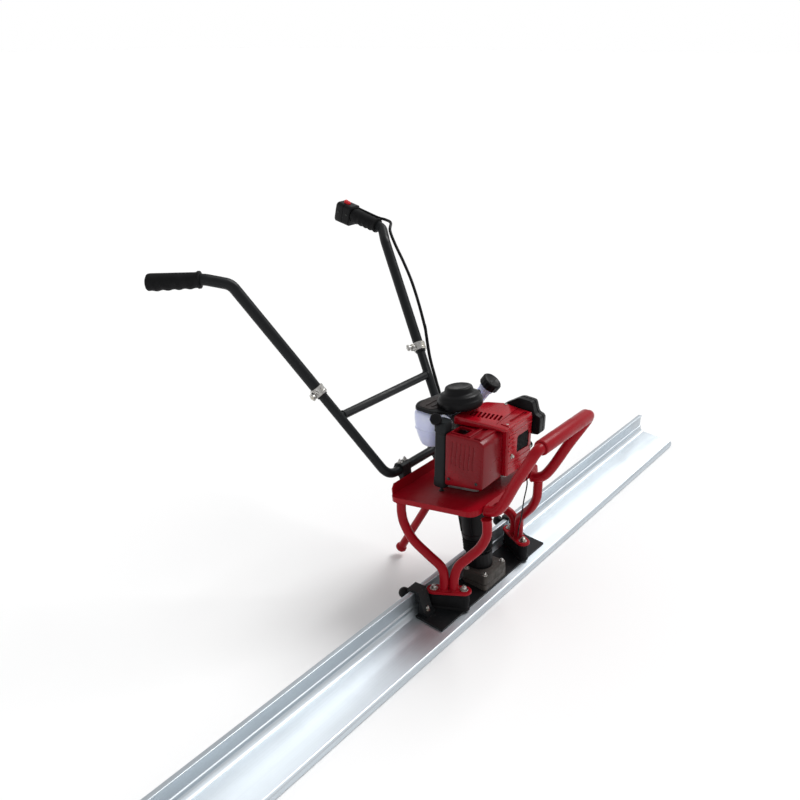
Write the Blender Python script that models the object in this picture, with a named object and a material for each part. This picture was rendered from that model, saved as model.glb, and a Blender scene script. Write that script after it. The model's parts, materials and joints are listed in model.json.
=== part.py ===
"""Power screed: a 2 m aluminium blade, a red tube frame on rubber feet, and a small four-stroke
engine that spins an eccentric weight on the blade through a drive shaft.

Units are metres. +X runs along the blade, +Y points back towards the operator, +Z is up.
The origin is the centre of the blade's sole.
"""
import math

import bmesh
import bpy
from mathutils import Vector

GAP = 0.0003                      # clearance between pieces that touch

# Blade
BLADE_LENGTH = 2.0
BLADE_FRONT, BLADE_BACK = -0.056, 0.058
BLADE_WALL = 0.008                # rear wall thickness
BLADE_HEIGHT = 0.079
NOSE_HEIGHT = 0.014
FACE_SLOPE = 0.10                 # rise of the working face per metre towards the rear wall
FACE_BACK = 0.040                 # where the face meets the rib

# Base plate and feet
PLATE_HALF, PLATE_FRONT, PLATE_BACK, PLATE_THICK = 0.22, -0.034, 0.0355, 0.005
FOOT_X, FOOT_Y, FOOT_YAW = 0.144, 0.0015, math.radians(31)
FOOT_HALF, FOOT_R = 0.0325, 0.0165
FLANGE_LOW, FLANGE_HIGH = 0.0662, 0.0722

# Blade clamps
CLAMP_X, CLAMP_WIDTH = 0.196, 0.030
KNOB_Z = 0.058
HOOK_THICK = 0.006

# Frame
TUBE_R = 0.0105
STEM_SHIFT = 0.0107                # each leg tube stands this far from the foot's centre
DECK_HALF, DECK_FRONT, DECK_BACK = 0.142, -0.053, 0.168
DECK_Z = 0.275                    # top of the deck at its front edge
DECK_TILT = math.radians(8)       # the rear edge lies lower
SHEET = 0.003
SKIRT = 0.012
LOOP_X, LOOP_LOW_X = 0.120, 0.098
LOOP_Y, LOOP_Z, LOOP_R, LOOP_SLEEVE_R = -0.174, 0.441, 0.0115, 0.0160
LOOP_CORNER_R = 0.020
STAND_TOP = Vector((0, 0.118, 0.2310))
PIN_BORE_R = 0.0043

# Crank axis: square to the deck
CRANK_Y = 0.042
CRANK_Z = DECK_Z - (CRANK_Y - DECK_FRONT) * math.tan(DECK_TILT)
EXCITER_TOP = 0.062
BELLOWS_END = 0.1650              # distance from the deck down to the bellows' lower end
MUFFLER_LOW, MUFFLER_HIGH = -0.092, -0.0120
MUFFLER_REAR = 0.0545
STARTER_SHIFT = 0.011             # the starter cover's centre lies this far behind the crank axis
CAP_SEAT, CAP_AXIS = Vector((0.1160, 0.0790, 0.4450)), Vector((0.12, -0.55, 0.80)).normalized()
OIL_SEAT, OIL_AXIS = Vector((-0.0920, 0.0770, 0.4330)), Vector((-0.78, -0.32, 0.54)).normalized()
TOP_SLOTS = 7
PRIMER_SEAT = Vector((0.1115, -0.0325, 0.3320))

# Handle
PIVOT_Y, PIVOT_Z = 0.184, 0.280
HANDLE_CORNER = Vector((0.120, PIVOT_Y, PIVOT_Z))
HANDLE_BEND = Vector((0.265, 0.488, 0.697))
SLEEVE_R, BAR_R = 0.0125, 0.0105
BRACE_AT, CLAMP_AT, BAR_END_AT = 0.32, 0.43, 0.62
SLEEVE_BORE_DEPTH = 0.155
EAR_TOWARDS = {-1: Vector((-1, -0.35, -0.1)), 1: Vector((-1, 0.35, 0.1))}
GRIP_ROOT = {-1: Vector((-0.304, 0.525, 0.710)), 1: Vector((0.303, 0.527, 0.721))}
GRIP_TIP = {-1: Vector((-0.370, 0.629, 0.700)), 1: Vector((0.302, 0.668, 0.753))}
GRIP_WAVES = 4
GRIP_START = {-1: 0.008, 1: 0.015}  # distance of a grip's flange from the bend
BEND_R = 0.034
TRIGGER_DIP, TRIGGER_REACH = math.radians(35), 0.0390
TUBE_END = 0.006                  # how far the handle tube stops short of the grip's tip

# Cable routes
CABLE_R = 0.0038
CABLE_UPPER = [(0.3200, 0.6165, 0.7570), (0.3255, 0.5900, 0.7480), (0.3270, 0.5600, 0.7400),
               (0.3270, 0.5340, 0.7370), (0.3140, 0.5080, 0.7340), (0.2930, 0.4940, 0.7190),
               (0.2800, 0.4680, 0.6900), (0.2685, 0.4330, 0.6520), (0.2535, 0.3955, 0.6090),
               (0.2360, 0.3600, 0.5600), (0.2190, 0.3280, 0.5080)]
CABLE_LOWER = [(0.1080, 0.0215, 0.3210), (0.1140, 0.0560, 0.3200), (0.1320, 0.0950, 0.3290),
               (0.1450, 0.1320, 0.3280), (0.1530, 0.1700, 0.3240), (0.1560, 0.2020, 0.3240)]
WIRE_R = 0.0015
STOP_WIRE = [(0.0560, -0.0560, 0.3020), (0.0650, -0.0580, 0.2800), (0.0710, -0.0585, 0.2600),
             (0.0780, -0.0535, 0.2380), (0.0850, -0.0455, 0.2060), (0.0950, -0.0360, 0.1550),
             (0.1040, -0.0260, 0.1150), (0.1150, -0.0190, 0.0880)]

SIDES = (("near", -1), ("far", 1))

for old in list(bpy.data.objects):
    bpy.data.objects.remove(old, do_unlink=True)


def material(name, colour, roughness, metallic=0.0):
    mat = bpy.data.materials.new(name)
    mat.use_nodes = True
    shader = mat.node_tree.nodes["Principled BSDF"]
    shader.inputs["Base Color"].default_value = (*colour, 1.0)
    shader.inputs["Roughness"].default_value = roughness
    shader.inputs["Metallic"].default_value = metallic
    return mat


ALUMINIUM = material("aluminium", (0.72, 0.76, 0.80), 0.35, 1.0)
RED = material("red_paint", (0.42, 0.010, 0.020), 0.35)
RED_SHELL = material("red_shell", (0.45, 0.006, 0.014), 0.22)
BLACK_PAINT = material("black_paint", (0.016, 0.018, 0.018), 0.40)
BLACK_PLASTIC = material("black_plastic", (0.012, 0.012, 0.013), 0.45)
RUBBER = material("rubber", (0.010, 0.010, 0.010), 0.75)
CAST = material("cast_metal", (0.20, 0.20, 0.19), 0.55, 0.8)
STEEL = material("steel", (0.62, 0.60, 0.56), 0.30, 1.0)
TANK = material("tank_plastic", (0.62, 0.66, 0.80), 0.40)
SWITCH_RED = material("switch_red", (0.55, 0.01, 0.02), 0.40)


def finish(name, bm, mat, parent=None):
    """Turn a bmesh into a named object with outward faces and smooth round sides."""
    bmesh.ops.recalc_face_normals(bm, faces=bm.faces[:])
    mesh = bpy.data.meshes.new(name)
    bm.to_mesh(mesh)
    bm.free()
    mesh.materials.append(mat)
    mesh.shade_smooth()
    mesh.set_sharp_from_angle(angle=math.radians(35))
    obj = bpy.data.objects.new(name, mesh)
    bpy.context.collection.objects.link(obj)
    if parent:
        obj.parent = parent
    return obj


def loft(name, rings, mat, parent=None, closed=False):
    """Skin a list of rings of equal count; capped at both ends, or joined round into a hollow."""
    bm = bmesh.new()
    loops = [[bm.verts.new(point) for point in ring] for ring in rings]
    count = len(loops[0])
    pairs = list(zip(loops, loops[1:])) + ([(loops[-1], loops[0])] if closed else [])
    for low, high in pairs:
        for i in range(count):
            j = (i + 1) % count
            bm.faces.new((low[i], low[j], high[j], high[i]))
    if not closed:
        bm.faces.new(loops[0][::-1])
        bm.faces.new(loops[-1])
    return finish(name, bm, mat, parent)


def frame_of(direction):
    """Two unit vectors square to a direction."""
    axis = Vector(direction).normalized()
    side = axis.cross(Vector((0, 0, 1)))
    if side.length < 0.2:
        side = axis.cross(Vector((1, 0, 0)))
    side.normalize()
    return side, axis.cross(side)


def circle(centre, direction, radius, count=12):
    side, up = frame_of(direction)
    centre = Vector(centre)
    turn = 2 * math.pi / count
    return [centre + radius * (math.cos(i * turn) * side + math.sin(i * turn) * up)
            for i in range(count)]


def turned(name, start, direction, profile, mat, parent=None, count=24, closed=False):
    """A turned piece: profile holds (distance along the axis, radius) pairs."""
    axis = Vector(direction).normalized()
    rings = [circle(Vector(start) + axis * along, axis, radius, count) for along, radius in profile]
    return loft(name, rings, mat, parent, closed)


def smooth_path(points, per_span=6):
    """A Catmull-Rom curve through the points."""
    pts = [Vector(p) for p in points]
    pts = [2 * pts[0] - pts[1]] + pts + [2 * pts[-1] - pts[-2]]
    path = []
    for a, b, c, d in zip(pts, pts[1:], pts[2:], pts[3:]):
        for step in range(per_span):
            t = step / per_span
            path.append(0.5 * (2 * b + (c - a) * t + (2 * a - 5 * b + 4 * c - d) * t ** 2
                               + (3 * b - a - 3 * c + d) * t ** 3))
    return path + [pts[-2]]


def fillet_path(points, radius, steps=5):
    """Straight runs joined by round bends of the given radius."""
    pts = [Vector(p) for p in points]
    path = [pts[0]]
    for before, corner, after in zip(pts, pts[1:], pts[2:]):
        into, out = (corner - before).normalized(), (after - corner).normalized()
        reach = radius * math.tan(into.angle(out) / 2)
        reach = min(reach, (corner - before).length * 0.48, (after - corner).length * 0.48)
        start, end = corner - into * reach, corner + out * reach
        for step in range(steps + 1):
            t = step / steps
            path.append(start * (1 - t) ** 2 + corner * 2 * t * (1 - t) + end * t ** 2)
    return path + [pts[-1]]


def sweep_rings(path, radii, count=12):
    """Rings that follow a path without twisting."""
    tangents = [(path[min(i + 1, len(path) - 1)] - path[max(i - 1, 0)]).normalized()
                for i in range(len(path))]
    side, up = frame_of(tangents[0])
    rings = []
    for point, tangent, radius in zip(path, tangents, radii):
        side = (side - tangent * side.dot(tangent)).normalized()
        up = tangent.cross(side)
        rings.append([point + radius * (math.cos(a) * side + math.sin(a) * up)
                      for a in (2 * math.pi * i / count for i in range(count))])
    return rings


def tube(name, path, radius, mat, parent=None, count=12):
    return loft(name, sweep_rings(path, [radius] * len(path), count), mat, parent)


def prism(name, outline, axis, low, high, mat, parent=None):
    """Extrude a flat outline along X (outline in Y, Z), Y (X, Z) or Z (X, Y)."""
    place = {"X": lambda a, b, t: (t, a, b), "Y": lambda a, b, t: (a, t, b),
             "Z": lambda a, b, t: (a, b, t)}[axis]
    return loft(name, [[place(a, b, t) for a, b in outline] for t in (low, high)], mat, parent)


def block(name, low, high, mat, parent=None, bevel=0.0, segments=2):
    outline = [(low[0], low[1]), (high[0], low[1]), (high[0], high[1]), (low[0], high[1])]
    obj = prism(name, outline, "Z", low[2], high[2], mat, parent)
    if bevel:
        round_edges(obj, bevel, segments)
    return obj


def round_edges(obj, width, segments=2):
    mod = obj.modifiers.new("round", "BEVEL")
    mod.width = width
    mod.segments = segments
    mod.limit_method = "ANGLE"
    mod.angle_limit = math.radians(40)


def rounded_outline(low, high, radius, steps=4):
    """A rectangle with round corners, as (a, b) pairs."""
    centres = [(high[0] - radius, high[1] - radius, 0), (low[0] + radius, high[1] - radius, 90),
               (low[0] + radius, low[1] + radius, 180), (high[0] - radius, low[1] + radius, 270)]
    return [(a + radius * math.cos(math.radians(start + 90 * k / steps)),
             b + radius * math.sin(math.radians(start + 90 * k / steps)))
            for a, b, start in centres for k in range(steps + 1)]


def combine(target, tool, operation):
    """Boolean a tool into a target; the tool becomes a hidden guide."""
    mod = target.modifiers.new(operation.lower(), "BOOLEAN")
    mod.operation = operation
    mod.solver = "EXACT"
    mod.object = tool
    tool.hide_render = True
    tool.display_type = "WIRE"


def empty(name, place, tilt=0.0):
    holder = bpy.data.objects.new(name, None)
    holder.location = place
    holder.rotation_euler = (tilt, 0, 0)
    bpy.context.collection.objects.link(holder)
    bpy.context.view_layer.update()
    return holder


def mirrored(point, side):
    """A point of the far (+X) half, or its twin on the near (-X) half."""
    return Vector((point[0] * side, point[1], point[2]))


def face_z(y, clear=0.0):
    """Height of the blade's working face at y."""
    return NOSE_HEIGHT + 0.004 + FACE_SLOPE * (y - BLADE_FRONT) + clear


# ---------------------------------------------------------------- blade and base plate

def build_blade():
    wall = BLADE_BACK - BLADE_WALL
    rib = face_z(FACE_BACK) + 0.006
    outline = [
        (BLADE_FRONT + 0.003, 0), (BLADE_BACK, 0), (BLADE_BACK, BLADE_HEIGHT),
        (wall - 0.003, BLADE_HEIGHT), (wall - 0.003, BLADE_HEIGHT - 0.004),
        (wall, BLADE_HEIGHT - 0.005), (wall, rib + 0.012), (wall - 0.003, rib + 0.010),
        (wall - 0.003, rib + 0.003), (wall - 0.005, rib),
        (FACE_BACK + 0.001, face_z(FACE_BACK) + 0.002),
        (FACE_BACK - 0.002, face_z(FACE_BACK - 0.002)),
        (BLADE_FRONT + 0.005, face_z(BLADE_FRONT + 0.005)),
        (BLADE_FRONT, NOSE_HEIGHT), (BLADE_FRONT, 0.003)]
    half = BLADE_LENGTH / 2
    blade = prism("screed_blade", outline, "X", -half, half, ALUMINIUM)
    skin = 0.0035
    core = [(BLADE_FRONT + skin, skin), (wall - 0.001, skin), (wall - 0.001, rib - 2 * skin),
            (BLADE_FRONT + skin, NOSE_HEIGHT - 0.001)]
    core_bar = prism("blade_core", core, "X", -half - 0.01, half + 0.01, ALUMINIUM)
    combine(blade, core_bar, "DIFFERENCE")


def build_base_plate():
    outline = [(PLATE_FRONT, face_z(PLATE_FRONT, GAP)), (PLATE_BACK, face_z(PLATE_BACK, GAP)),
               (PLATE_BACK, face_z(PLATE_BACK, PLATE_THICK)),
               (PLATE_FRONT, face_z(PLATE_FRONT, PLATE_THICK))]
    prism("base_plate", outline, "X", -PLATE_HALF, PLATE_HALF, BLACK_PAINT)


def build_blade_clamps():
    """A hook over the rear wall on each side, with a ball knob that pinches the wall."""
    inside = BLADE_BACK - BLADE_WALL - 0.0073
    outside = BLADE_BACK + HOOK_THICK
    crest = BLADE_HEIGHT + HOOK_THICK
    seat_z = face_z(0.0, PLATE_THICK + GAP)
    for label, side in SIDES:
        hook = [
            (0.012, face_z(0.012, PLATE_THICK + GAP)), (0.034, face_z(0.034, PLATE_THICK + GAP)),
            (0.034, 0.060), (inside, 0.0625), (inside, BLADE_HEIGHT + GAP),
            (BLADE_BACK + GAP, BLADE_HEIGHT + GAP), (BLADE_BACK + GAP, 0.040),
            (outside, 0.040), (outside, crest),
            (0.036, crest), (0.020, seat_z + 0.012), (0.012, seat_z + 0.009)]
        low, high = sorted((side * (CLAMP_X - CLAMP_WIDTH / 2), side * (CLAMP_X + CLAMP_WIDTH / 2)))
        prism(f"blade_clamp_{label}", hook, "X", low, high, BLACK_PAINT)
        start = (side * CLAMP_X, outside + GAP, KNOB_Z)
        profile = [(0, 0.0045), (0.008, 0.0045), (0.009, 0.008), (0.012, 0.0115), (0.019, 0.0125),
                   (0.026, 0.0110), (0.031, 0.0060)]
        turned(f"blade_clamp_knob_{label}", start, (0, 1, 0), profile, BLACK_PLASTIC, count=16)


# ---------------------------------------------------------------- feet and frame

def foot_point(side, along, across, z):
    """A point of a foot: along its yawed length, across it, at height z."""
    y = FOOT_Y + along * math.cos(FOOT_YAW) - across * math.sin(FOOT_YAW)
    x = FOOT_X + along * math.sin(FOOT_YAW) + across * math.cos(FOOT_YAW)
    return Vector((side * x, y, z))


def stadium(half, radius, steps=6):
    points = []
    for centre, start in ((half, -90), (-half, 90)):
        for k in range(steps + 1):
            a = math.radians(start + 180 * k / steps)
            points.append((centre + radius * math.cos(a), radius * math.sin(a)))
    return points


def build_feet():
    outline = stadium(FOOT_HALF, FOOT_R)
    for label, side in SIDES:
        bottom = [foot_point(side, a, c, 0) for a, c in stadium(FOOT_HALF, FOOT_R - 0.002)]
        for point in bottom:
            point.z = face_z(point.y, PLATE_THICK + GAP)
        top = [foot_point(side, a, c, FLANGE_LOW - GAP) for a, c in stadium(FOOT_HALF, FOOT_R - 0.002)]
        loft(f"rubber_mount_{label}", [bottom, top], RUBBER)
        for place, along in (("front", -FOOT_HALF), ("rear", FOOT_HALF)):
            where = foot_point(side, along, 0, FLANGE_HIGH + GAP)
            profile = [(0, 0.0085), (0.0015, 0.0085), (0.0016, 0.0062), (0.0075, 0.0062), (0.0085, 0.0050)]
            turned(f"foot_bolt_{label}_{place}", where, (0, 0, 1), profile, STEEL, count=6)
        build_leg(label, side, outline)


def build_leg(label, side, outline):
    """Two bent tubes side by side on one flange: one sweeps back, one bulges forward."""
    low = FLANGE_LOW + 0.0050
    rear = [foot_point(side, STEM_SHIFT, 0, low), foot_point(side, STEM_SHIFT, 0, 0.100)]
    rear += [mirrored(p, side) for p in
             ((0.1470, 0.0210, 0.122), (0.1420, 0.0580, 0.136), (0.1370, 0.1020, 0.155),
              (0.1330, 0.1290, 0.182), (0.1300, 0.1400, 0.207), (0.1280, 0.1426, 0.2338))]
    front = [foot_point(side, -STEM_SHIFT, 0, low), foot_point(side, -STEM_SHIFT, 0, 0.100)]
    front += [mirrored(p, side) for p in
              ((0.1310, -0.0130, 0.128), (0.1210, -0.0300, 0.150), (0.1120, -0.0520, 0.178),
               (0.1080, -0.0650, 0.208), (0.1080, -0.0665, 0.232), (0.1100, -0.0655, 0.2515))]
    leg = tube(f"leg_{label}", smooth_path(rear, 3), TUBE_R, RED)
    combine(leg, tube(f"leg_{label}_front", smooth_path(front, 3), TUBE_R, RED), "UNION")
    flange = loft(f"leg_{label}_flange", [[foot_point(side, a, c, z) for a, c in outline]
                                          for z in (FLANGE_LOW, FLANGE_HIGH)], RED)
    combine(leg, flange, "UNION")


def build_deck():
    """The sheet the engine stands on, with down-turned sides and an upturned rear lip."""
    holder = empty("deck_frame", (0, DECK_FRONT, DECK_Z), -DECK_TILT)
    depth = (DECK_BACK - DECK_FRONT) / math.cos(DECK_TILT)
    outer = rounded_outline((-DECK_HALF, 0), (DECK_HALF, depth), 0.020)
    deck = prism("deck", outer, "Z", -SKIRT, 0, RED, holder)
    inner = rounded_outline((-DECK_HALF + SHEET, SHEET), (DECK_HALF - SHEET, depth - SHEET), 0.017)
    combine(deck, prism("deck_hollow", inner, "Z", -SKIRT - 0.01, -SHEET, RED, holder), "DIFFERENCE")
    lip = [(-DECK_HALF + 0.014, -0.002), (DECK_HALF - 0.014, -0.002), (DECK_HALF - 0.014, 0.012),
           (DECK_HALF - 0.022, 0.022), (-DECK_HALF + 0.022, 0.022), (-DECK_HALF + 0.014, 0.012)]
    combine(deck, prism("deck_lip", lip, "Y", depth - SHEET - 0.0005, depth - 0.0005, RED, holder), "UNION")
    bore = turned("deck_bore", (0, (CRANK_Y - DECK_FRONT) / math.cos(DECK_TILT), -0.02), (0, 0, 1),
                  [(0, 0.030), (0.04, 0.030)], RED, holder)
    combine(deck, bore, "DIFFERENCE")


def build_front_loop():
    """The lifting loop over the front: a bent tube with a fat sleeve on its crossbar."""
    half = [(LOOP_LOW_X, -0.0572, 0.2645), (LOOP_LOW_X, -0.066, 0.2648), (0.099, -0.084, 0.2740),
            (0.103, -0.102, 0.300), (0.112, -0.132, 0.360), (LOOP_X, -0.166, 0.422)]
    near = smooth_path([mirrored(p, -1) for p in half], 3)
    far = smooth_path([mirrored(p, 1) for p in half], 3)
    bends = []
    for side in (-1, 1):
        start = mirrored(half[-1], side)
        end = Vector((side * (LOOP_X - LOOP_CORNER_R), LOOP_Y, LOOP_Z))
        knee = Vector((side * LOOP_X, LOOP_Y, LOOP_Z))
        bends.append([start * (1 - t) ** 2 + knee * 2 * t * (1 - t) + end * t ** 2
                      for t in (k / 5 for k in range(1, 6))])
    path = near + bends[0] + bends[1][::-1] + far[::-1]
    tube("front_loop", path, LOOP_R, RED)
    reach = LOOP_X - LOOP_CORNER_R - 0.001
    turned("loop_sleeve", (-reach, LOOP_Y, LOOP_Z), (1, 0, 0),
           [(0, LOOP_R + GAP), (0, LOOP_SLEEVE_R - 0.002), (0.003, LOOP_SLEEVE_R),
            (2 * reach - 0.003, LOOP_SLEEVE_R), (2 * reach, LOOP_SLEEVE_R - 0.002),
            (2 * reach, LOOP_R + GAP)],
           RED, count=16, closed=True)


def build_kickstand():
    """A single tube that swings down from the deck and rests its round foot on the ground."""
    path = smooth_path([STAND_TOP, (0, 0.146, 0.190), (0, 0.175, 0.136), (0, 0.208, 0.076),
                        (0, 0.2345, 0.0275)], 3)
    holder = empty("kickstand_axis", STAND_TOP)
    local = [p - STAND_TOP for p in path]
    tail = (local[-1] - local[-2]).normalized()
    foot = [local[-1] + tail * 0.004, local[-1] + tail * 0.009, local[-1] + tail * 0.014]
    radii = [0.0095] * len(local) + [0.0135, 0.0135, 0.0085]
    stand = loft("kickstand", sweep_rings(local + foot, radii, 12), RED, holder)
    eye = turned("kickstand_eye", (-0.0130, 0, 0), (1, 0, 0), [(0, 0.0125), (0.026, 0.0125)], RED, holder)
    combine(stand, eye, "UNION")
    pin_hole = turned("kickstand_hole", (-0.02, 0, 0), (1, 0, 0), [(0, PIN_BORE_R), (0.04, PIN_BORE_R)],
                      RED, holder)
    combine(stand, pin_hole, "DIFFERENCE")
    ears = deck_bracket()
    hole = turned("kickstand_ear_hole", STAND_TOP + Vector((-0.03, 0, 0)), (1, 0, 0),
                  [(0, PIN_BORE_R), (0.06, PIN_BORE_R)], RED)
    combine(ears, hole, "DIFFERENCE")
    turned("kickstand_pin", STAND_TOP + Vector((-0.0205, 0, 0)), (1, 0, 0),
           [(0, 0.0068), (0.0030, 0.0068), (0.0030, 0.0040), (0.0385, 0.0040), (0.0385, 0.0060),
            (0.041, 0.0060)],
           STEEL, count=16)


def deck_under(y, clear=GAP):
    """Height just under the deck sheet at y."""
    return DECK_Z - (y - DECK_FRONT) * math.tan(DECK_TILT) - SHEET / math.cos(DECK_TILT) - clear


def deck_over(y, clear=GAP):
    """Height just over the deck sheet at y."""
    return DECK_Z - (y - DECK_FRONT) * math.tan(DECK_TILT) + clear


def deck_bracket():
    """Two ears under the deck, joined by a strap, that hold the kickstand's pin."""
    front, back = STAND_TOP.y - 0.016, STAND_TOP.y + 0.016
    outer = [(front, deck_under(front)), (back, deck_under(back)), (back, STAND_TOP.z - 0.004),
             (back - 0.008, STAND_TOP.z - 0.013), (front + 0.008, STAND_TOP.z - 0.013),
             (front, STAND_TOP.z - 0.004)]
    bracket = prism("kickstand_bracket", outer, "X", -0.0172, 0.0172, RED)
    slot = block("kickstand_slot", (-0.0137, front - 0.01, STAND_TOP.z - 0.05),
                 (0.0137, back + 0.01, STAND_TOP.z + 0.0132), RED)
    combine(bracket, slot, "DIFFERENCE")
    return bracket


# ---------------------------------------------------------------- drive

def crank_frame():
    return empty("crank_axis", (0, CRANK_Y, CRANK_Z), -DECK_TILT)


def build_drive(crank):
    """Everything along the tilted crank axis; z = 0 is the top of the deck."""
    up = (0, 0, 1)
    # The clutch housing hangs under the deck and is open down its middle.
    turned("clutch_housing", (0, 0, 0), up,
           [(-0.130, 0.0330), (-0.127, 0.0345), (-0.080, 0.0360), (-0.030, 0.0400), (-0.0036, 0.0430),
            (-0.0036, 0.0280), (-0.052, 0.0260), (-0.054, 0.0110), (-0.130, 0.0110)],
           BLACK_PLASTIC, crank, count=20, closed=True)
    ribs = [(-0.1645, 0.0300)]
    for k in range(4):
        z = -0.1630 + 0.0080 * k
        ribs += [(z, 0.0330), (z + 0.0035, 0.0335), (z + 0.0055, 0.0295)]
    ribs += [(-0.1303, 0.0300), (-0.1303, 0.0200), (-0.1645, 0.0200)]
    turned("drive_bellows", (0, 0, 0), up, ribs, RUBBER, crank, count=20, closed=True)
    # One shaft line: flywheel, clutch shoes' drum, shaft and eccentric weight turn together.
    turned("drive_shaft", (0, 0, 0), up,
           [(-0.229, 0.0055), (-0.060, 0.0055), (-0.059, 0.0090), (-0.0505, 0.0090), (-0.0505, 0.0060),
            (0.0215, 0.0060)],
           STEEL, crank, count=12)
    drum = [(-0.050, 0.0065), (-0.050, 0.0235), (-0.010, 0.0250), (-0.010, 0.0230), (-0.046, 0.0215),
            (-0.046, 0.0065)]
    turned("clutch_drum", (0, 0, 0), up, drum, CAST, crank, count=20, closed=True)
    weight = [(0.0065 * math.cos(a), 0.0065 * math.sin(a)) for a in
              (math.radians(-90 + 180 * k / 6) for k in range(7))]
    weight += [(0.0185 * math.cos(a), 0.0185 * math.sin(a)) for a in
               (math.radians(90 - 180 * k / 10) for k in range(11))]
    prism("eccentric_weight", weight, "Z", -0.2270, -0.2130, STEEL, crank)


def build_exciter():
    """The cast block on the base plate that holds the eccentric weight, and its round cap."""
    half_x, front, back = 0.046, -0.0325, 0.0335
    bottom = [(-half_x, front), (half_x, front), (half_x, back), (-half_x, back)]
    low = [(x, y, face_z(y, PLATE_THICK + GAP)) for x, y in bottom]
    high = [(x * 0.96, y * 0.96, EXCITER_TOP) for x, y in bottom]
    housing = loft("exciter_housing", [low, high], CAST)
    centre_y = CRANK_Y - (CRANK_Z - 0.050) * math.tan(DECK_TILT)
    cavity = turned("exciter_cavity", (0, centre_y, 0.0), (0, 0, 1),
                    [(0, 0.0225), (EXCITER_TOP - 0.006, 0.0225)], CAST)
    combine(housing, cavity, "DIFFERENCE")
    bore = turned("exciter_bore", (0, centre_y, 0.04), (0, 0, 1), [(0, 0.0085), (0.05, 0.0085)], CAST)
    combine(housing, bore, "DIFFERENCE")
    # The cap's top is square to the tilted shaft, so its rim is lower at the back.
    rings = []
    for z, radius in ((EXCITER_TOP + GAP, 0.0300), (EXCITER_TOP + 0.006, 0.0300)):
        rings.append(circle((0, centre_y + 0.0015, z), (0, 0, 1), radius, 20))
    top_y = centre_y + 0.0045
    slope = math.tan(DECK_TILT)
    reach = CRANK_Z - BELLOWS_END / math.cos(DECK_TILT) - GAP - 0.0012
    for radius in (0.0300, 0.0120):
        rings.append([Vector((p.x, p.y, reach - slope * (p.y - top_y)))
                      for p in circle((0, top_y, 0), (0, 0, 1), radius, 20)])
    rings.append(circle((0, centre_y + 0.0015, EXCITER_TOP + GAP), (0, 0, 1), 0.0120, 20))
    loft("exciter_cap", rings, BLACK_PLASTIC, closed=True)


# ---------------------------------------------------------------- engine

def build_engine(crank):
    crankcase = block("crankcase", (-0.050, -0.046, GAP), (0.055, 0.048, 0.0225), CAST, crank, 0.004)
    well = turned("crankcase_well", (0, 0, 0), (0, 0, 1), [(-0.01, 0.0090), (0.05, 0.0090)], CAST, crank)
    combine(crankcase, well, "DIFFERENCE")
    tower = block("crankcase_tower", (-0.054, 0.0552, 0.2700), (0.058, 0.0945, 0.4110), CAST)
    combine(crankcase, tower, "UNION")
    plan = [(-0.0072, -0.046), (0.060, -0.046), (0.060, 0.0458), (-0.0072, 0.0458)]
    base = [(x, y, deck_over(y, 0.0236)) for x, y in plan]
    loft("cylinder_block", [base, [(x, y, 0.4050) for x, y in plan]], CAST)
    build_muffler_cover()
    build_top_cover()
    column_front = MUFFLER_REAR + 2 * GAP
    block("side_column", (-0.0915, column_front, 0.2755), (-0.060, 0.0860, 0.4290), BLACK_PLASTIC,
          bevel=0.005)
    build_recoil(crank)
    build_tank()
    build_air_side()


def build_muffler_cover():
    """Red heat shield box on the near side, open at the back of its top."""
    outline = [(-0.040, 0.3005), (MUFFLER_REAR, 0.2870), (MUFFLER_REAR, 0.4080), (-0.039, 0.4120)]
    cover = prism("muffler_cover", outline, "X", MUFFLER_LOW, MUFFLER_HIGH, RED_SHELL)
    round_edges(cover, 0.006)
    hollow = [(-0.037, 0.3040), (0.0515, 0.2905), (0.0515, 0.4045), (-0.036, 0.4085)]
    core = prism("muffler_hollow", hollow, "X", MUFFLER_LOW + 0.003, MUFFLER_HIGH + 0.01, RED_SHELL)
    combine(cover, core, "DIFFERENCE")
    window = block("muffler_window", (-0.080, 0.010, 0.395), (-0.048, 0.042, 0.42), RED_SHELL)
    combine(cover, window, "DIFFERENCE")
    block("muffler", (-0.082, -0.030, 0.3120), (-0.024, 0.044, 0.3940), CAST, bevel=0.010)


def build_top_cover():
    """Red fan shroud: a slanted top that overhangs the muffler box and a deep front with a grille."""
    plan = [(-0.020, -0.052), (0.094, -0.050), (0.096, 0.020), (0.070, 0.055), (0.040, 0.066),
            (-0.046, 0.066), (-0.040, 0.040)]
    rings = [[(x, y, 0.4130) for x, y in plan], [(x, y, 0.4190 + 0.085 * (y + 0.052)) for x, y in plan]]
    cover = loft("top_cover", rings, RED_SHELL)
    skirt = block("top_cover_skirt", (-0.0110, -0.0515, 0.3060), (0.0935, 0.0500, 0.4150), RED_SHELL)
    combine(cover, skirt, "UNION")
    inner = block("top_cover_hollow", (-0.0080, -0.0485, 0.3000), (0.0905, 0.0470, 0.4120), RED_SHELL)
    combine(cover, inner, "DIFFERENCE")
    round_edges(cover, 0.003)
    for k in range(TOP_SLOTS):
        x, y = -0.014 + 0.0034 * k, 0.0360 - 0.0086 * k
        slot = block(f"top_cover_slot_{k}", (x, y, 0.405), (x + 0.022, y + 0.0044, 0.45), RED_SHELL)
        combine(cover, slot, "DIFFERENCE")
    grille = block("top_cover_grille", (0.030, -0.06, 0.350), (0.078, -0.040, 0.386), RED_SHELL)
    combine(cover, grille, "DIFFERENCE")


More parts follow.
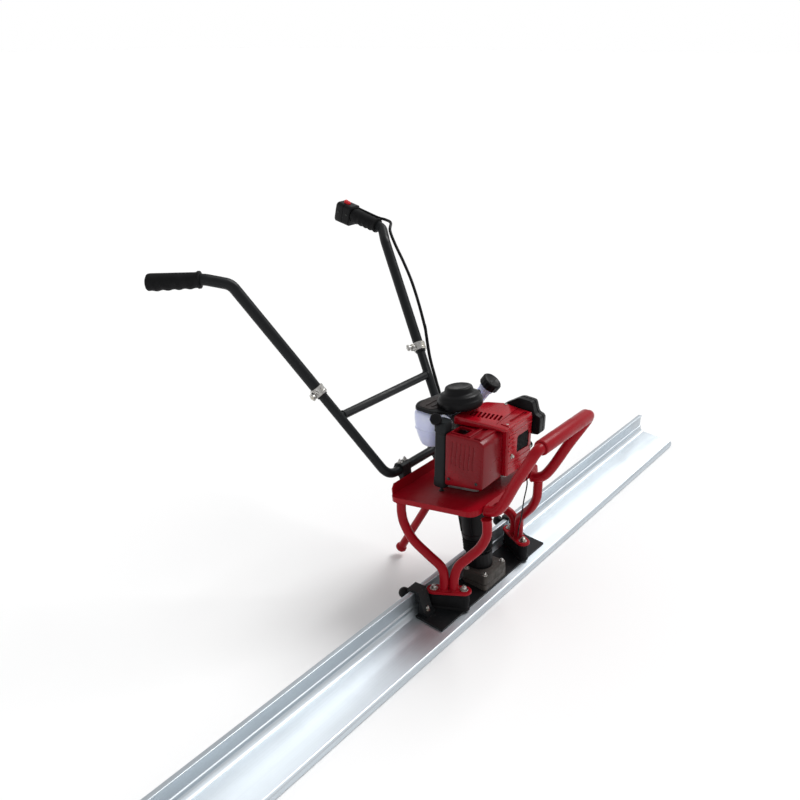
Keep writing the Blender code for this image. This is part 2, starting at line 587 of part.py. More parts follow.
def build_recoil(crank):
    """Black stepped starter cover, with a flat tongue over the tank."""
    cover = turned("recoil_cover", (0, STARTER_SHIFT, 0), (0, 0, 1),
                   [(0.1715, 0.0300), (0.1765, 0.0300), (0.1775, 0.0480), (0.1830, 0.0505),
                    (0.1930, 0.0505), (0.1955, 0.0475), (0.2040, 0.0445), (0.2095, 0.0330),
                    (0.2190, 0.0300), (0.2225, 0.0270)],
                   BLACK_PLASTIC, crank, count=32)
    tongue = [(-0.0430, 0.0700), (0.0400, 0.0700), (0.046, 0.150), (-0.040, 0.164), (-0.067, 0.152),
              (-0.070, 0.104)]
    combine(cover, prism("recoil_tongue", tongue, "Z", 0.4296, 0.4370, BLACK_PLASTIC), "UNION")
    # The pull handle sits against the cover's far side.
    block("recoil_grip", (0.0515, -0.005, 0.1840), (0.0615, 0.027, 0.1980), BLACK_PLASTIC, crank, 0.003)


def build_tank():
    low, high, radius = (-0.063, 0.098), (0.115, 0.168), 0.026
    levels = ((0.3380, 0.022), (0.3420, 0.014), (0.3580, 0.008), (0.3850, 0.002), (0.4140, 0.0),
              (0.4220, 0.003), (0.4262, 0.012))
    rings = []
    for z, shrink in levels:
        outline = rounded_outline((low[0] + shrink, low[1] + shrink), (high[0] - shrink, high[1] - shrink),
                                  radius - shrink * 0.5, 3)
        rings.append([(x, y, z) for x, y in outline])
    tank = loft("fuel_tank", rings, TANK)
    neck = turned("tank_neck", CAP_SEAT - CAP_AXIS * 0.040, CAP_AXIS, [(0, 0.0150), (0.0395, 0.0150)],
                  TANK, count=16)
    combine(tank, neck, "UNION")
    profile = [(GAP, 0.0210), (0.002, 0.0235), (0.017, 0.0235), (0.0195, 0.0210)]
    holder = empty("fuel_cap_axis", CAP_SEAT)
    turned("fuel_cap", (0, 0, 0), CAP_AXIS, profile, BLACK_PLASTIC, holder, count=20)
    turned("oil_cap", OIL_SEAT, OIL_AXIS, [(0, 0.0105), (0.003, 0.0130), (0.012, 0.0130), (0.014, 0.0110)],
           BLACK_PLASTIC, count=16)


def build_air_side():
    """Air cleaner, carburettor, choke lever and primer bulb on the far side."""
    outline = [(-0.066, 0.368), (-0.030, 0.364), (0.026, 0.372), (0.030, 0.418), (-0.010, 0.443),
               (-0.044, 0.441), (-0.052, 0.414), (-0.067, 0.409)]
    cover = prism("air_cleaner_cover", outline, "X", 0.0985, 0.1300, BLACK_PLASTIC)
    round_edges(cover, 0.005)
    carburettor = block("carburettor", (0.0985, -0.034, 0.3140), (0.1250, 0.018, 0.3560), CAST, bevel=0.002)
    recess = turned("primer_recess", PRIMER_SEAT + Vector((0, 0.0045, 0)), (0, -1, 0),
                    [(0, 0.0105), (0.02, 0.0105)], CAST)
    combine(carburettor, recess, "DIFFERENCE")
    profile = [(0, 0.0098), (0.003, 0.0098), (0.006, 0.0090), (0.009, 0.0065), (0.011, 0.0030)]
    turned("primer_bulb", PRIMER_SEAT, (0, -1, 0), profile, RUBBER, count=16)
    prism("choke_lever", [(0.020, 0.334), (0.046, 0.330), (0.048, 0.338), (0.024, 0.346)], "X",
          0.1160, 0.1190, BLACK_PLASTIC)


# ---------------------------------------------------------------- handle

def handle_line(side, t):
    """A point along a side tube: 0 at the pivot corner, 1 at the bend under the grip."""
    return mirrored(HANDLE_CORNER.lerp(HANDLE_BEND, t), side)


def build_handle():
    corners = [handle_line(side, t) for side, t in ((-1, BAR_END_AT), (-1, 0), (1, 0), (1, BAR_END_AT))]
    bar = tube("lower_handle", fillet_path(corners, 0.035), BAR_R, BLACK_PAINT)
    brace_path = [handle_line(-1, BRACE_AT), handle_line(1, BRACE_AT)]
    combine(bar, tube("handle_brace", brace_path, BAR_R * 0.92, BLACK_PAINT), "UNION")
    for label, side in SIDES:
        build_handle_clamp(label, side)
        build_upper_handle(label, side)


def lip_back(z):
    """Just behind the deck's leaning rear lip at height z."""
    back_z = DECK_Z - (DECK_BACK - DECK_FRONT) * math.tan(DECK_TILT)
    return DECK_BACK + (z - back_z) * math.tan(DECK_TILT) + 2 * GAP


def build_handle_clamp(label, side):
    """A block behind the deck's rear lip that holds the handle's bottom bar."""
    y, z, half = PIVOT_Y, PIVOT_Z, 0.015
    centre = side * 0.066
    outline = [(lip_back(z - 0.040), z - 0.040), (y - 0.008, z - 0.040), (y, z - 0.018),
               (y + 0.014, z - 0.010), (y + 0.016, z), (y + 0.012, z + 0.012), (y, z + 0.016),
               (y - 0.0105, z + 0.012), (lip_back(z - 0.008), z - 0.004)]
    clamp = prism(f"handle_clamp_{label}", outline, "X", centre - half, centre + half, BLACK_PAINT)
    bore = turned(f"handle_clamp_{label}_bore", (centre - 0.03, y, z), (1, 0, 0),
                  [(0, BAR_R + GAP), (0.06, BAR_R + GAP)], BLACK_PAINT, count=24)
    combine(clamp, bore, "DIFFERENCE")


def build_upper_handle(label, side):
    """A tube that slides on the lower handle and bends back into a grip."""
    start, bend = handle_line(side, CLAMP_AT), handle_line(side, 1.0)
    axis = (bend - start).normalized()
    root, tip = GRIP_ROOT[side], GRIP_TIP[side]
    grip_axis = (tip - root).normalized()
    end = tip - grip_axis * TUBE_END
    outer_path = fillet_path([start, bend, root, end], BEND_R, 6)
    outer = sweep_rings(outer_path, [SLEEVE_R] * len(outer_path), 16)[::-1]
    inner_path = [start, start + axis * SLEEVE_BORE_DEPTH]
    inner = sweep_rings(inner_path, [BAR_R + GAP] * 2, 16)
    loft(f"upper_handle_{label}", outer + inner, BLACK_PAINT)
    # Slotted collar with its pinch bolt near the sleeve's mouth.
    clamp = turned(f"height_clamp_{label}", start + axis * 0.004, axis,
                   [(0, SLEEVE_R + GAP), (0, 0.0160), (0.020, 0.0160), (0.020, SLEEVE_R + GAP)],
                   STEEL, count=20, closed=True)
    ear_dir = -EAR_TOWARDS[side].cross(axis).cross(axis).normalized()
    centre = start + axis * 0.014
    ear = turned(f"height_clamp_{label}_ear", centre + ear_dir * 0.0150, ear_dir,
                 [(0, 0.0075), (0.010, 0.0075)], STEEL, count=12)
    combine(clamp, ear, "UNION")
    turned(f"clamp_knob_{label}", centre + ear_dir * 0.0253, ear_dir,
           [(0, 0.0050), (0.004, 0.0080), (0.009, 0.0080), (0.011, 0.0060)], STEEL, count=12)
    build_grip(label, side, root, tip, grip_axis)


def grip_stations(start, stop):
    """Stations along a grip as (distance, radius on top, radius underneath)."""
    step = (stop - start - 0.020) / (2 * GRIP_WAVES)
    stations = [(start, 0.0188, 0.0188), (start + 0.006, 0.0188, 0.0188)]
    for k in range(2 * GRIP_WAVES + 1):
        top = 0.0165 + 0.0035 * k / (2 * GRIP_WAVES)
        stations.append((start + 0.012 + step * k, top, 0.0190 if k % 2 else 0.0168))
    return stations


def egg(centre, axis, top, low, count=16):
    """A ring whose radius runs from top, on its upper side, to low underneath."""
    side, down = frame_of(axis)
    ring = []
    for i in range(count):
        a = 2 * math.pi * i / count
        radius = (top + low) / 2 + (top - low) / 2 * math.sin(a)
        ring.append(centre + radius * (math.cos(a) * side - math.sin(a) * down))
    return ring


def build_grip(label, side, root, tip, axis):
    """A rubber grip with finger waves underneath and a flange at its inner end."""
    length = (tip - root).length
    stop = length if side < 0 else length - 0.048
    start = GRIP_START[side]
    stations = grip_stations(start, stop)
    if side < 0:
        # Closed end: the rubber wraps over the tube's end.
        stations += [(stop, 0.0165, 0.0180), (stop + 0.003, 0.0090, 0.0120)]
    else:
        stations += [(stop, 0.0185, 0.0170)]
    outer = [egg(root + axis * a, axis, top, low) for a, top, low in stations]
    bore_end = length - TUBE_END + GAP if side < 0 else stop
    bore_r = SLEEVE_R + GAP
    inner = [egg(root + axis * a, axis, bore_r, bore_r) for a in (start, bore_end)]
    loft(f"grip_{label}", outer[::-1] + inner, RUBBER, closed=side > 0)
    if side > 0:
        build_throttle(root, axis, length)


def build_throttle(root, axis, length):
    """Control box on the far handle's end, with its trigger on the outer side and the stop switch."""
    start = length - 0.047
    side, down = frame_of(axis)
    up = -down
    box = []
    for along, grow in ((0, -0.002), (0.002, 0), (0.046, 0), (0.050, -0.004)):
        outline = rounded_outline((-0.0185 - grow, -0.0290 - grow), (0.0245 + grow, 0.0240 + grow), 0.009)
        box.append([root + axis * (start + along) + side * a + up * b for a, b in outline])
    body = loft("throttle_body", box, BLACK_PLASTIC)
    depth = length - TUBE_END + GAP - start
    tube_hole = turned("throttle_body_bore", root + axis * (start - 0.01), axis,
                       [(0, SLEEVE_R + GAP), (depth + 0.01, SLEEVE_R + GAP)], BLACK_PLASTIC, count=16)
    combine(body, tube_hole, "DIFFERENCE")
    out = side * math.cos(TRIGGER_DIP) + down * math.sin(TRIGGER_DIP)
    pin = axis.cross(out)
    pivot = root + axis * (start + 0.030) + out * TRIGGER_REACH
    lug = turned("throttle_lug", pivot - pin * 0.0075 - out * 0.006, pin, [(0, 0.0100), (0.015, 0.0100)],
                 BLACK_PLASTIC, count=12)
    combine(body, lug, "UNION")
    slot = turned("throttle_lug_slot", pivot - pin * 0.0033, pin, [(0, 0.0110), (0.0066, 0.0110)],
                  BLACK_PLASTIC, count=16)
    combine(body, slot, "DIFFERENCE")
    trigger_path = [pivot, pivot + out * 0.002 - axis * 0.018, pivot + out * 0.003 - axis * 0.040,
                    pivot + out * 0.001 - axis * 0.062]
    holder = empty("trigger_axis", pivot)
    corners = ((-1, -1), (1, -1), (1, 1), (-1, 1))
    heights, widths = (0.0042, 0.0040, 0.0036, 0.0028), (0.0030, 0.0030, 0.0045, 0.0045)
    rings = []
    for point, high, wide in zip(trigger_path, heights, widths):
        rings.append([point - pivot + out * (high * a) + pin * (wide * b) for a, b in corners])
    loft("throttle_trigger", rings, BLACK_PLASTIC, holder)
    switch_at = root + axis * (start + 0.026) + up * 0.0242
    foot = [switch_at + axis * (0.009 * a) + side * (0.0055 * b) for a, b in corners]
    top = [switch_at + axis * (0.008 * a) + side * (0.0048 * b) + up * (0.006 + 0.0015 * a)
           for a, b in corners]
    loft("kill_switch", [foot, top], SWITCH_RED)


def build_cables():
    for name, route, radius in (("throttle_cable_upper", CABLE_UPPER, CABLE_R),
                                ("throttle_cable_lower", CABLE_LOWER, CABLE_R),
                                ("stop_wire", STOP_WIRE, WIRE_R)):
        tube(name, smooth_path(route, 4), radius, BLACK_PLASTIC, count=8)


build_blade()
build_base_plate()
build_blade_clamps()
build_feet()
build_deck()
build_front_loop()
build_kickstand()
CRANK = crank_frame()
build_drive(CRANK)
build_exciter()
build_engine(CRANK)
build_handle()
build_cables()
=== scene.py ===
"""Looks for the power screed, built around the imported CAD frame.

Units are metres, in the CAD's own frame: +X runs along the blade, +Y points back towards the
operator, +Z is up. Near pieces are on the -X side and far pieces on the +X side.
"""
import json
import math

import bmesh
import bpy
from mathutils import Matrix, Vector


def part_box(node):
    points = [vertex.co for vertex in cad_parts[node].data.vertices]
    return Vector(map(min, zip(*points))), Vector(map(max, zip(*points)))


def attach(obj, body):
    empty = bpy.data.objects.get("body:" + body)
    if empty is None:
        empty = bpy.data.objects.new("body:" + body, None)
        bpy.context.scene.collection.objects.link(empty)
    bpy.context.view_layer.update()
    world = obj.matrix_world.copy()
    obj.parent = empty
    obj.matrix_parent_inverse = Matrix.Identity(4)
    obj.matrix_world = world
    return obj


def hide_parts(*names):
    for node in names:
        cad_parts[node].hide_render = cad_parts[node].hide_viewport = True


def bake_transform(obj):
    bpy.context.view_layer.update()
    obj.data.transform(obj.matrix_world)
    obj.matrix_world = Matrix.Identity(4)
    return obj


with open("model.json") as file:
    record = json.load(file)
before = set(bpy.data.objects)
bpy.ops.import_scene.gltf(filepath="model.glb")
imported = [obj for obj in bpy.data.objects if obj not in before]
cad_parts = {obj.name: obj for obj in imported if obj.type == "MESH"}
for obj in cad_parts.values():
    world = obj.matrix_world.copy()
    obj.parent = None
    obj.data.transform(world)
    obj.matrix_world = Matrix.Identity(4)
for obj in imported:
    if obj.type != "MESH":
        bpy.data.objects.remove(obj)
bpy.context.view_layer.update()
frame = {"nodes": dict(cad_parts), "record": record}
NODES = frame["nodes"]

# Driving dimensions, the same as the CAD's
GAP = 0.0003
BLADE_WALL, NOSE_HEIGHT, FACE_SLOPE, FACE_BACK = 0.008, 0.014, 0.10, 0.040
PLATE_THICK = 0.005
FOOT_X, FOOT_Y, FOOT_YAW, FOOT_HALF, FOOT_R = 0.144, 0.0015, math.radians(31), 0.0325, 0.0165
STEM_SHIFT = 0.0107
FLANGE_LOW, FLANGE_HIGH = 0.0662, 0.0722
TUBE_R = 0.0105
DECK_FRONT, DECK_Z, DECK_TILT = -0.053, 0.275, math.radians(8)
CRANK_Y = 0.042
CRANK_Z = DECK_Z - (CRANK_Y - DECK_FRONT) * math.tan(DECK_TILT)
CRANK = Matrix.Translation((0, CRANK_Y, CRANK_Z)) @ Matrix.Rotation(-DECK_TILT, 4, "X")
STARTER_SHIFT = 0.011
CAP_SEAT, CAP_AXIS = Vector((0.1160, 0.0790, 0.4450)), Vector((0.12, -0.55, 0.80)).normalized()
OIL_SEAT, OIL_AXIS = Vector((-0.0920, 0.0770, 0.4330)), Vector((-0.78, -0.32, 0.54)).normalized()
HANDLE_CORNER, HANDLE_BEND = Vector((0.120, 0.184, 0.280)), Vector((0.265, 0.488, 0.697))
SLEEVE_R, BAR_R = 0.0125, 0.0105
BRACE_AT, CLAMP_AT, BAR_END_AT = 0.32, 0.43, 0.62
BEND_R = 0.034
EAR_TOWARDS = {-1: Vector((-1, -0.35, -0.1)), 1: Vector((-1, 0.35, 0.1))}
GRIP_ROOT = {-1: Vector((-0.304, 0.525, 0.710)), 1: Vector((0.303, 0.527, 0.721))}
GRIP_TIP = {-1: Vector((-0.370, 0.629, 0.700)), 1: Vector((0.302, 0.668, 0.753))}
GRIP_START, GRIP_WAVES = {-1: 0.008, 1: 0.015}, 4
TRIGGER_DIP, TRIGGER_REACH = math.radians(35), 0.0390
TUBE_END = 0.006
SIDES = (("near", -1), ("far", 1))

# Routes of the throttle cable's two fixed runs and of the stop switch's wire
CABLE_R = 0.0038
CABLE_UPPER = [(0.3200, 0.6165, 0.7570), (0.3255, 0.5900, 0.7480), (0.3270, 0.5600, 0.7400),
               (0.3270, 0.5340, 0.7370), (0.3140, 0.5080, 0.7340), (0.2930, 0.4940, 0.7190),
               (0.2800, 0.4680, 0.6900), (0.2685, 0.4330, 0.6520), (0.2535, 0.3955, 0.6090),
               (0.2360, 0.3600, 0.5600), (0.2190, 0.3280, 0.5080)]
CABLE_LOWER = [(0.1080, 0.0215, 0.3210), (0.1140, 0.0560, 0.3200), (0.1320, 0.0950, 0.3290),
               (0.1450, 0.1320, 0.3280), (0.1530, 0.1700, 0.3240), (0.1560, 0.2020, 0.3240)]
STOP_WIRE = [(0.0560, -0.0560, 0.3020), (0.0650, -0.0580, 0.2800), (0.0710, -0.0585, 0.2600),
             (0.0780, -0.0535, 0.2380), (0.0850, -0.0455, 0.2060), (0.0950, -0.0360, 0.1550),
             (0.1040, -0.0260, 0.1150), (0.1150, -0.0190, 0.0880)]

# Light, camera and the fineness of the meshes
KEY_FROM, KEY_POWER, KEY_WIDTH = (0.96, -0.28, 1.25), 2.1, math.radians(28)
DOME_ABOVE, FLOOR_HALF = 0.58, 60
CAMERA_AT, CAMERA_LENS = (-1.5356, -0.9108, 1.188), 40.7
CAMERA_TURN = (math.radians(67.9), 0, math.radians(-53.1))
SHARP_ANGLE = 35.0
BOLT_EDGE, COVER_EDGE = 0.0003, (0.0005, 2, 50)
CABLE_STEPS, LINK_STEPS = 10, 14

X_AXIS, Y_AXIS, Z_AXIS = Vector((1, 0, 0)), Vector((0, 1, 0)), Vector((0, 0, 1))


# ---------------------------------------------------------------- materials

class Look:
    """A Principled material whose colour, gloss and relief come from textures in object space."""

    def __init__(self, name, colour, roughness, metallic=0.0, **inputs):
        self.material = bpy.data.materials.new(name)
        self.material.use_nodes = True
        self.tree = self.material.node_tree
        self.shader = self.tree.nodes["Principled BSDF"]
        self.place = self.node("ShaderNodeTexCoord").outputs["Object"]
        self.material.diffuse_color = (*colour, 1)
        self.normal = None
        self.put("Base Color", (*colour, 1))
        self.put("Roughness", roughness)
        self.put("Metallic", metallic)
        for name, value in inputs.items():
            self.put(name.replace("_", " "), value)

    def node(self, kind, **settings):
        made = self.tree.nodes.new(kind)
        for key, value in settings.items():
            setattr(made, key, value)
        return made

    def link(self, source, target):
        self.tree.links.new(source, target)

    def put(self, name, value):
        if isinstance(value, bpy.types.NodeSocket):
            self.link(value, self.shader.inputs[name])
        else:
            self.shader.inputs[name].default_value = value

    def noise(self, scale, detail=3.0, stretch=(1, 1, 1)):
        mapping = self.node("ShaderNodeMapping")
        mapping.inputs["Scale"].default_value = stretch
        self.link(self.place, mapping.inputs["Vector"])
        made = self.node("ShaderNodeTexNoise")
        made.inputs["Scale"].default_value = scale
        made.inputs["Detail"].default_value = detail
        self.link(mapping.outputs["Vector"], made.inputs["Vector"])
        return made.outputs["Fac"]

    def cells(self, scale):
        made = self.node("ShaderNodeTexVoronoi")
        made.inputs["Scale"].default_value = scale
        self.link(self.place, made.inputs["Vector"])
        return made.outputs["Distance"]

    def span(self, value, low, high, start=0.3, end=0.7):
        """Stretch a texture's start..end onto low..high."""
        made = self.node("ShaderNodeMapRange")
        self.link(value, made.inputs["Value"])
        for name, number in (("From Min", start), ("From Max", end), ("To Min", low), ("To Max", high)):
            made.inputs[name].default_value = number
        return made.outputs["Result"]

    def times(self, a, b):
        made = self.node("ShaderNodeMath", operation="MULTIPLY")
        self.link(a, made.inputs[0])
        self.link(b, made.inputs[1])
        return made.outputs["Value"]

    def edges(self):
        """1 on worn convex edges, 0 on flat faces."""
        raw = self.node("ShaderNodeNewGeometry").outputs["Pointiness"]
        return self.span(raw, 0.0, 1.0, 0.53, 0.60)

    def tint(self, factor, colour):
        """Mix another colour over the base where factor is high."""
        made = self.node("ShaderNodeMix", data_type="RGBA")
        self.link(factor, made.inputs[0])
        below = self.shader.inputs["Base Color"]
        if below.is_linked:
            self.link(below.links[0].from_socket, made.inputs[6])
        else:
            made.inputs[6].default_value = below.default_value
        made.inputs[7].default_value = (*colour, 1)
        self.put("Base Color", made.outputs[2])
        return self

    def relief(self, height, depth, strength=1.0):
        """Bump from a texture; depth is in metres."""
        made = self.node("ShaderNodeBump")
        made.inputs["Strength"].default_value = strength
        made.inputs["Distance"].default_value = depth
        self.link(height, made.inputs["Height"])
        if self.normal:
            self.link(self.normal, made.inputs["Normal"])
        self.normal = made.outputs["Normal"]
        self.put("Normal", self.normal)
        return self

    def mottle(self, colour, amount, scale, detail, stretch=(1, 1, 1), start=0.3, end=0.7):
        """Clouds of another colour, up to an amount, from noise of a scale."""
        return self.tint(self.span(self.noise(scale, detail, stretch), 0.0, amount, start, end), colour)

    def gloss(self, low, high, scale, detail, stretch=(1, 1, 1)):
        """Roughness that wanders between low and high."""
        self.put("Roughness", self.span(self.noise(scale, detail, stretch), low, high))
        return self


def scaled(colour, factor):
    """A colour made lighter or darker."""
    return tuple(min(1.0, channel * factor) for channel in colour)


def paint(name, colour, rough, primer, coat=0.0, shine=0.12):
    """Powder coat: slight orange peel, cloudy tone, and primer showing on a few worn edges."""
    look = Look(name, colour, rough, Coat_Weight=coat, Coat_Roughness=0.12, Specular_IOR_Level=shine)
    look.mottle(scaled(colour, 0.62), 0.22, 28, 4)
    look.mottle(scaled(colour, 1.25), 0.25, 9, 2)
    chips = look.times(look.edges(), look.span(look.noise(160, 5), 0.0, 0.35, 0.62, 0.70))
    look.tint(chips, primer)
    look.gloss(rough * 0.8, rough * 1.35, 45, 3)
    return look.relief(look.noise(700, 2), 0.00008, 0.5).material


def moulded(name, colour, rough, grain=1800, depth=0.00010, coat=0.0, shine=0.25):
    """Moulded plastic with a fine spark-eroded grain and rubbed edges."""
    look = Look(name, colour, rough, Coat_Weight=coat, Coat_Roughness=0.08, Specular_IOR_Level=shine)
    look.mottle(scaled(colour, 0.7), 0.4, 30, 4)
    look.tint(look.times(look.edges(), look.span(look.noise(220, 4), 0.1, 0.5)), scaled(colour, 1.9))
    look.gloss(rough * 0.8, rough * 1.3, 70, 4)
    return look.relief(look.cells(grain), depth, 0.6).material


def rubber(name, colour):
    """Matt black rubber with a grey bloom."""
    look = Look(name, colour, 0.75, Specular_IOR_Level=0.14)
    look.mottle(scaled(colour, 2.4), 0.5, 60, 5, start=0.5, end=0.8)
    look.gloss(0.58, 0.82, 120, 3)
    return look.relief(look.noise(1400, 3), 0.00015, 0.7).material


def extruded_aluminium(name, colour):
    """Die lines along X, cloudy oxide patches and faint handling scuffs."""
    look = Look(name, colour, 0.46, 1.0, Anisotropic=0.35)
    look.mottle(scaled(colour, 0.86), 0.35, 2.2, 3, (1, 4, 4))
    look.mottle(scaled(colour, 1.16), 0.30, 260, 3, (0.01, 1, 1))
    look.mottle(scaled(colour, 0.78), 0.18, 24, 6, start=0.56, end=0.75)
    look.gloss(0.38, 0.54, 5.0, 5, (1, 4, 4))
    look.relief(look.noise(900, 2, (0.006, 1, 1)), 0.00010, 0.45)
    return look.relief(look.noise(110, 4, (0.3, 1, 1)), 0.00012, 0.10).material


def cast_metal(name, colour, metallic, rough=0.55):
    """As-cast or scaled metal: dark patches, bright worn edges and a sandy surface."""
    look = Look(name, colour, rough, metallic)
    look.mottle(scaled(colour, 0.5), 0.6, 45, 6)
    look.tint(look.times(look.edges(), look.span(look.noise(300, 3), 0.3, 0.9)), scaled(colour, 2.0))
    look.gloss(rough * 0.75, rough * 1.25, 90, 4)
    look.relief(look.cells(900), 0.00025, 0.5)
    return look.relief(look.noise(350, 5), 0.00030, 0.4).material


def plated(name, colour, rough):
    """Zinc plate: grey spangle with a few yellow passivated patches."""
    look = Look(name, colour, rough, 1.0)
    look.mottle(scaled(colour, 0.62), 0.55, 110, 4)
    look.mottle((0.50, 0.44, 0.28), 0.4, 60, 3, start=0.5, end=0.7)
    look.gloss(rough * 0.7, rough * 1.5, 240, 3)
    return look.relief(look.noise(900, 3), 0.00008, 0.4).material


def milky_plastic(name, colour):
    """Blow-moulded tank wall: cloudy, lightly translucent, with a soft pebble."""
    look = Look(name, colour, 0.36, Subsurface_Weight=0.55, Subsurface_Scale=0.012, Coat_Weight=0.15)
    look.put("Subsurface Radius", (1.0, 1.0, 1.3))
    look.mottle((0.50, 0.55, 0.84), 0.55, 14, 4)
    look.mottle((0.82, 0.84, 0.96), 0.3, 55, 5)
    look.gloss(0.25, 0.5, 40, 3)
    return look.relief(look.noise(420, 2), 0.00020, 0.4).material


RED = paint("red_powder_coat", (0.285, 0.0022, 0.0085), 0.34, (0.17, 0.03, 0.03), coat=0.05)
BLACK_PAINT = paint("black_satin_paint", (0.0085, 0.0095, 0.0105), 0.36, (0.07, 0.07, 0.07), shine=0.16)
# Moulded red shell for the fan shroud; its base is set a little lighter than the frame red as painted light
# for the cover's lit top.
SHELL_RED_LIT = moulded("red_shell", (0.320, 0.002, 0.009), 0.24, grain=700, depth=0.00004, coat=0.22,
                    shine=0.22)
# Darker copy of the shell red for the muffler cover: painted shade for its shaded near face.
SHELL_RED_SHADED = moulded("shell_red_painted_shade", (0.185, 0.0015, 0.006), 0.30, grain=700, depth=0.00004, coat=0.12,
                     shine=0.14)
BLACK_PLASTIC = moulded("black_plastic", (0.0045, 0.0045, 0.0052), 0.38, shine=0.14)
GREY_PLASTIC = moulded("dark_grey_plastic", (0.011, 0.013, 0.014), 0.45, shine=0.16)
BROWN_PLASTIC = moulded("dark_brown_plastic", (0.016, 0.009, 0.008), 0.38)
SWITCH_RED = moulded("switch_red", (0.50, 0.010, 0.016), 0.35)
RUBBER = rubber("rubber", (0.0045, 0.0045, 0.0050))
ALUMINIUM = extruded_aluminium("extruded_aluminium", (0.58, 0.63, 0.67))
CAST = cast_metal("die_cast", (0.26, 0.26, 0.25), 0.9)
BROWN_CAST = cast_metal("exciter_casting", (0.060, 0.053, 0.047), 0.55, 0.6)
DARK_STEEL = cast_metal("heat_darkened_steel", (0.045, 0.048, 0.047), 0.7, 0.5)
ZINC = plated("zinc_plate", (0.54, 0.53, 0.51), 0.28)
TANK = milky_plastic("tank_plastic", (0.66, 0.69, 0.90))
LOOKS_OF_SLOT = {
    "aluminium": (ALUMINIUM,), "red_paint": (RED,), "red_shell": (SHELL_RED_LIT, SHELL_RED_SHADED),
    "black_paint": (BLACK_PAINT,), "black_plastic": (BLACK_PLASTIC, GREY_PLASTIC, BROWN_PLASTIC),
    "rubber": (RUBBER,), "cast_metal": (CAST, BROWN_CAST), "steel": (ZINC, DARK_STEEL),
    "tank_plastic": (TANK,), "switch_red": (SWITCH_RED,)}


# ---------------------------------------------------------------- mesh helpers

def frame_of(direction):
    """Two unit vectors square to a direction."""
    axis = Vector(direction).normalized()
    side = axis.cross(Z_AXIS)
    if side.length < 0.2:
        side = axis.cross(X_AXIS)
    side.normalize()
    return side, axis.cross(side)


def run(points, radius, count=20):
    """A hose or wire along a smooth route."""
    return Shape().tube(smooth_path(points), radius, count)


def mirrored(point, side):
    """A point given for the far side, or its image on the near side."""
    return Vector((point[0] * side, point[1], point[2]))


def smooth_path(points, per_span=8):
    """A Catmull-Rom curve through the points."""
    pts = [Vector(p) for p in points]
    pts = [2 * pts[0] - pts[1]] + pts + [2 * pts[-1] - pts[-2]]
    path = []
    for a, b, c, d in zip(pts, pts[1:], pts[2:], pts[3:]):
        for t in (step / per_span for step in range(per_span)):
            path.append(0.5 * (2 * b + (c - a) * t + (2 * a - 5 * b + 4 * c - d) * t ** 2
                               + (3 * b - a - 3 * c + d) * t ** 3))
    return path + [pts[-2]]


def fillet_path(points, radius, steps=10):
    """Straight runs joined by round bends."""
    pts = [Vector(p) for p in points]
    path = [pts[0]]
    for before, corner, after in zip(pts, pts[1:], pts[2:]):
        into, out = (corner - before).normalized(), (after - corner).normalized()
        reach = radius * math.tan(into.angle(out) / 2)
        reach = min(reach, (corner - before).length * 0.48, (after - corner).length * 0.48)
        start, end = corner - into * reach, corner + out * reach
        for t in (step / steps for step in range(steps + 1)):
            path.append(start * (1 - t) ** 2 + corner * 2 * t * (1 - t) + end * t ** 2)
    return path + [pts[-1]]


def soften(points, radius, steps=3):
    """Round every corner of a flat outline."""
    out = []
    pts = [Vector(p) for p in points]
    for before, corner, after in zip(pts[-1:] + pts[:-1], pts, pts[1:] + pts[:1]):
        reach_in = min(radius, (corner - before).length * 0.45)
        reach_out = min(radius, (after - corner).length * 0.45)
        start = corner + (before - corner).normalized() * reach_in
        end = corner + (after - corner).normalized() * reach_out
        for t in (step / steps for step in range(steps + 1)):
            out.append(start * (1 - t) ** 2 + corner * 2 * t * (1 - t) + end * t ** 2)
    return out


def arc(centre, radius, start, end, steps=8):
    """Points on a flat arc; the angles are in degrees."""
    angles = [math.radians(start + (end - start) * k / steps) for k in range(steps + 1)]
    return [(centre[0] + radius * math.cos(a), centre[1] + radius * math.sin(a)) for a in angles]


def rounded_box(low, high, radius, steps=6):
    """Outline of a rectangle with round corners."""
    centres = [(high[0] - radius, high[1] - radius, 0), (low[0] + radius, high[1] - radius, 90),
               (low[0] + radius, low[1] + radius, 180), (high[0] - radius, low[1] + radius, 270)]
    return [p for a, b, start in centres for p in arc((a, b), radius, start, start + 90, steps)]


def level(outline, z, scale=1.0, about=(0, 0)):
    """A flat outline as a ring at height z, scaled about a point."""
    a, b = about
    return [Vector((a + (x - a) * scale, b + (y - b) * scale, z)) for x, y in outline]


def place_on(axis, a, b, along):
    """A point of an outline drawn square to a main axis."""
    return Vector({"X": (along, a, b), "Y": (a, along, b), "Z": (a, b, along)}[axis])


